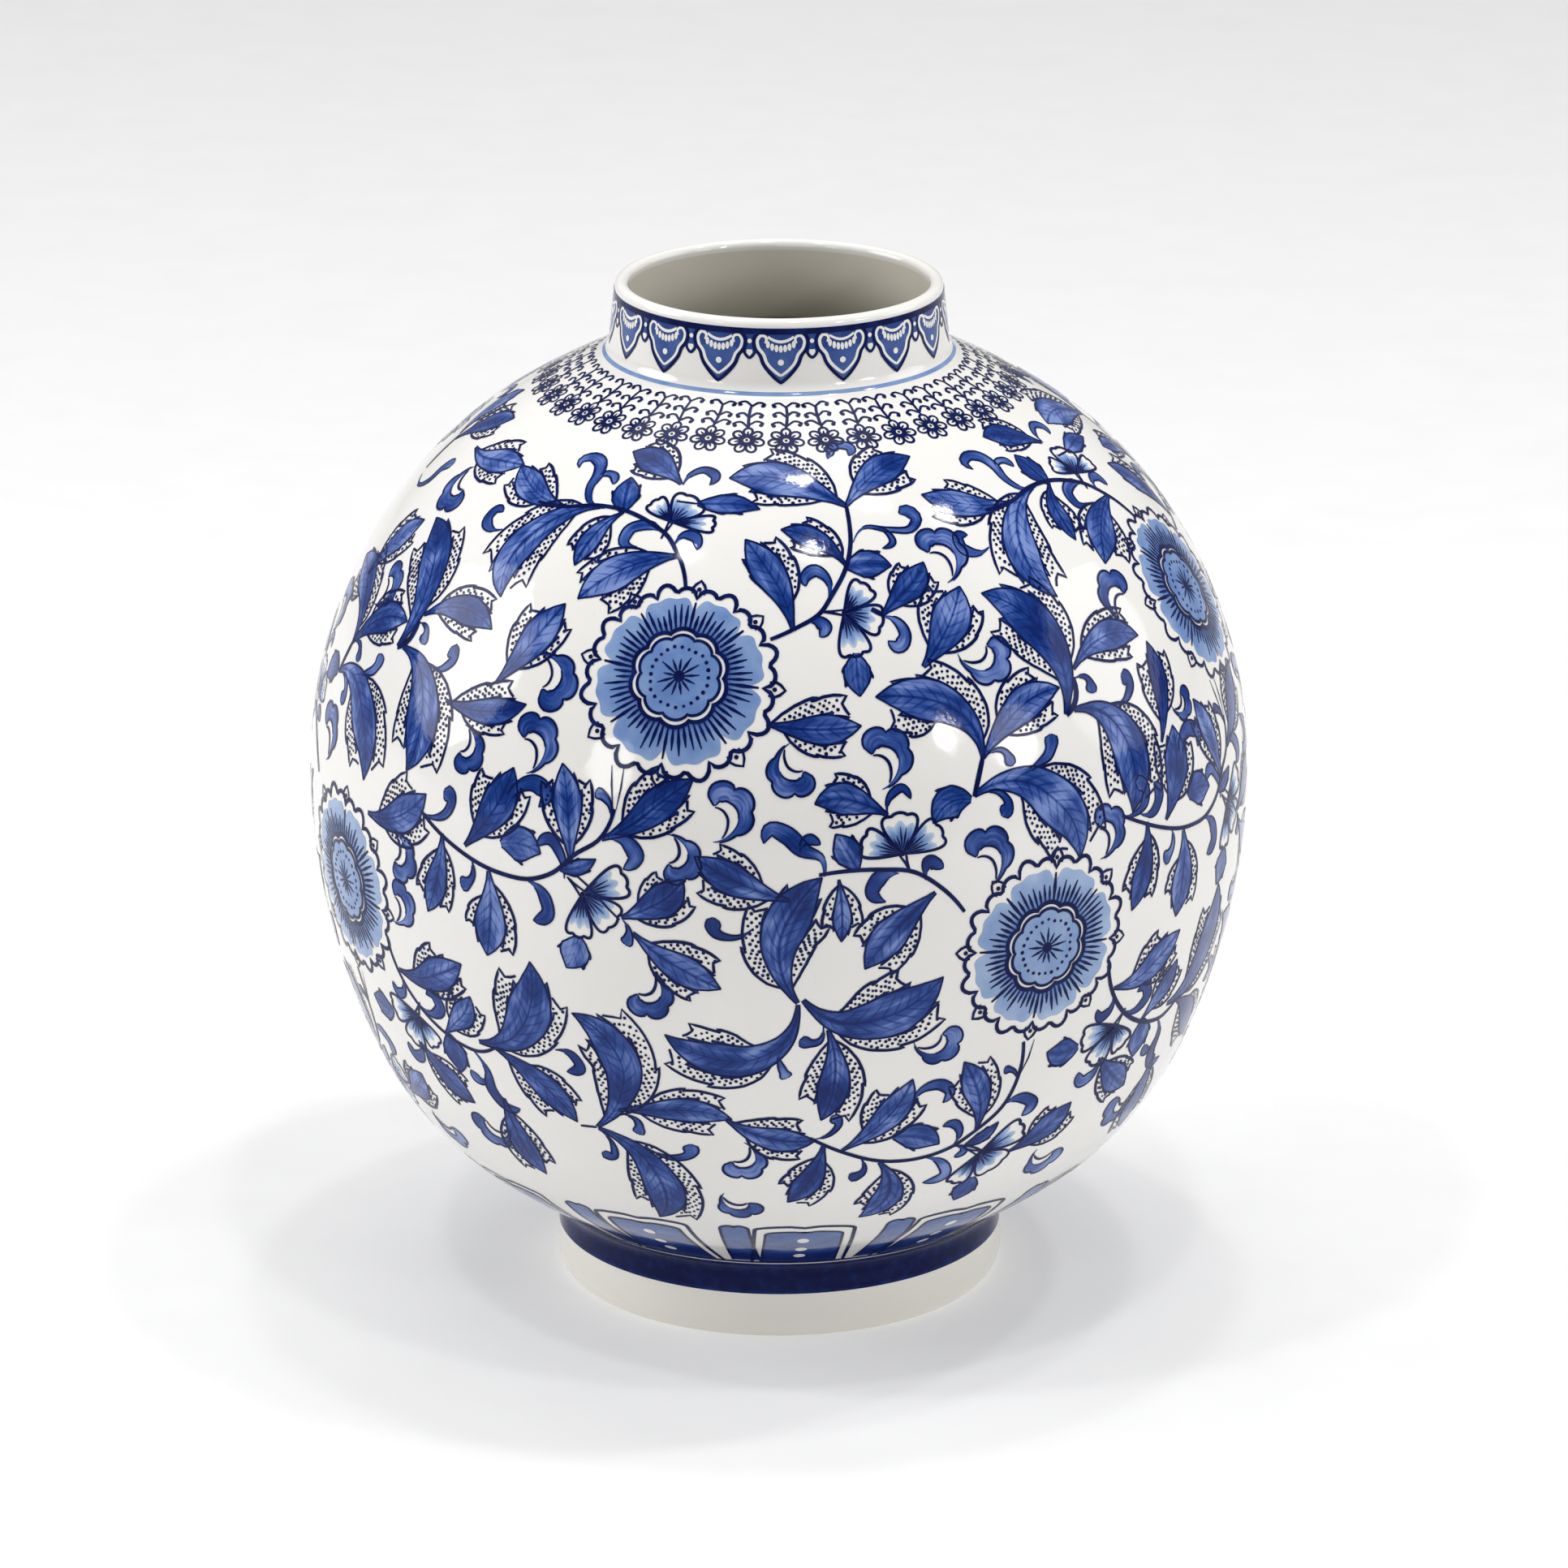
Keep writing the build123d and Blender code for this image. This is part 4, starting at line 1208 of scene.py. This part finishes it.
def wash_glaze():
    """Thinned cobalt: the mark tone runs from bare ware to full strength."""
    w = Wiring("thin_cobalt_wash")
    place = glaze_surface(w, 0.24)
    strength = w.total(w.mark("tone"), [(w.swing(w.noise(place, 120, 3.0)), 0.28)])
    colour = w.ramp(strength, [
        (0.0, (0.76, 0.76, 0.74)),
        (0.25, (0.36, 0.46, 0.63)),
        (0.5, (0.118, 0.208, 0.44)),
        (0.75, (0.03, 0.068, 0.25)),
        (1.0, (0.0005, 0.012, 0.11)),
    ])
    w.feed(w.shader.inputs["Base Color"], colour)
    return w.material


def line_glaze():
    """Dark cobalt line, a little paler where the brush ran thin."""
    w = Wiring("dark_cobalt_line")
    place = glaze_surface(w, 0.12)
    thin = w.noise(place, 260, 3.0)
    edge = w.step(w.math("ABSOLUTE", w.mark("across")), 0.7, 1.0, 0.0, 0.3)
    colour = w.ramp(w.math("ADD", thin, edge), [(0.45, (0.001, 0.004, 0.05)), (1.0, (0.006, 0.022, 0.13))])
    w.feed(w.shader.inputs["Base Color"], colour)
    return w.material


def bare_clay():
    """The slip in the joints: fine pale biscuit."""
    w = Wiring("biscuit_clay")
    place = w.place()
    grain = w.noise(place, 900, 4.0, 0.7)
    colour = w.ramp(grain, [(0.3, (0.66, 0.62, 0.55)), (0.7, (0.76, 0.73, 0.66))])
    w.feed(w.shader.inputs["Base Color"], colour)
    bump = w.add("ShaderNodeBump", {"Height": grain, "Strength": 0.5, "Distance": 0.0002})
    w.feed(w.shader.inputs["Normal"], bump.outputs["Normal"])
    w.shader.inputs["Roughness"].default_value = 0.8
    return w.material


def studio_floor():
    """Plain pale floor that glows a little, like lit paper."""
    w = Wiring("pale_floor")
    place = w.place()
    tint = w.noise(place, 30, 4.0)
    colour = w.ramp(tint, [(0.3, (0.54, 0.54, 0.54)), (0.7, (0.56, 0.56, 0.56))])
    w.feed(w.shader.inputs["Base Color"], colour)
    w.shader.inputs["Roughness"].default_value = 0.75
    w.shader.inputs["Emission Color"].default_value = (1, 1, 1, 1)
    w.shader.inputs["Emission Strength"].default_value = 0.34
    return w.material


# ---------------------------------------------------------------- the painting
def paint():
    """Lays every sheet and border on the ware."""
    upper, side, lower = upper_spray(), side_spray(), lower_spray()
    left = left_spray()

    def turned(turn, rise=0.0):
        """Moves places round the vase and up it, in degrees."""
        return lambda place: place + np.array([turn, rise])

    def upper_turned(times):
        """Moves places round by so many turns of the upper spray."""
        def move(place):
            return place + np.stack([times * np.interp(place[:, 1], *UPPER_TURN), np.zeros(len(place))], 1)
        return move

    def side_part(lon, lat):
        """The motifs of the side spray that the left spray doesn't replace."""
        return lon < 47 and (lon < 40.5 or lat > 5) and (lon > 26 or lat < 29)

    for times in UPPER_COPIES:
        upper.lay(upper_turned(times))
    upper.lay(upper_turned(-1), keep=lambda lon, lat: lon < -15.2 or lon > 30)
    for turn, rise in SIDE_COPIES:
        side.lay(turned(turn, rise))
    side.lay(turned(*SIDE_PART_COPY), keep=side_part)
    left.lay()
    for turn in LOWER_COPIES:
        lower.lay(turned(turn))
    lower.lay(turned(LOWER_PART_COPY), keep=lambda lon, lat: lon < 22)

    for index in range(GARLANDS):
        garland_unit(FIRST_GARLAND + index * 360 / GARLANDS, (-1) ** index)
    for index in range(LAPPETS):
        lappet(FIRST_LAPPET + index * 360 / LAPPETS)
    for index in range(NECK_PANELS):
        neck_panel(FIRST_PANEL + index * 360 / NECK_PANELS, 360 / NECK_PANELS)
    whole_ring(LINE, NECK_BORDER_LINE, LINE_TONE)
    whole_ring(WASH, NECK_RING, 0.44)
    whole_ring(LINE, FOOT_LINE, LINE_TONE)
    whole_ring(LINE, FOOT_BAND, LINE_TONE, 9)


paint()
white = white_glaze()
for layer, material, slot in (
    (WASH, wash_glaze(), "wash"),
    (COBALT, cobalt_glaze(), "cobalt"),
    (RESERVE, white, "glaze"),
    (LINE, line_glaze(), "cobalt"),
    (DOTS, line_glaze(), "cobalt"),
):
    layer.build(material, slot)

clay = bare_clay()
for name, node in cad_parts.items():
    for material_slot in node.material_slots:
        material_slot.material = clay if "slip" in name else white

# ---------------------------------------------------------------- studio
bpy.ops.mesh.primitive_plane_add(size=FLOOR_SIZE)
floor = bpy.context.object
floor.name = "studio_floor"
floor.data.materials.append(studio_floor())


def softbox(name, direction, reach, size, radiance):
    """An elliptical area light of a given radiance that faces the vase."""
    middle = Vector((0, 0, BELLY_HEIGHT / 1000))
    place = middle + Vector(direction).normalized() * reach
    data = bpy.data.lights.new(name, "AREA")
    data.shape = "ELLIPSE"
    data.size, data.size_y = size
    data.energy = radiance * pi * size[0] * size[1] * pi / 4
    lamp = bpy.data.objects.new(name, data)
    bpy.context.scene.collection.objects.link(lamp)
    lamp.location = place
    lamp.rotation_euler = (middle - place).to_track_quat("-Z", "Y").to_euler()


for name, values in LAMPS.items():
    softbox(name, *values)
for number, direction in enumerate(CEILING_LAMPS):
    size = (CEILING_LAMP_SIZE, CEILING_LAMP_SIZE)
    softbox("ceiling_lamp_%d" % number, direction, CEILING_LAMP_REACH, size, CEILING_LAMP_RADIANCE)

world = bpy.data.worlds.new("studio")
world.use_nodes = True
background = world.node_tree.nodes["Background"]
background.inputs["Color"].default_value = (1, 1, 1, 1)
background.inputs["Strength"].default_value = WORLD_LIGHT
bpy.context.scene.world = world

camera_data = bpy.data.cameras.new("camera")
camera_data.sensor_width = 36
camera_data.lens = CAMERA_LENS
camera = bpy.data.objects.new("camera", camera_data)
bpy.context.scene.collection.objects.link(camera)
camera.location = CAMERA_PLACE
camera.rotation_euler = Euler((radians(90 - CAMERA_DOWN), 0, radians(CAMERA_TURN)))
bpy.context.scene.camera = camera
bpy.context.scene.view_settings.view_transform = "Standard"
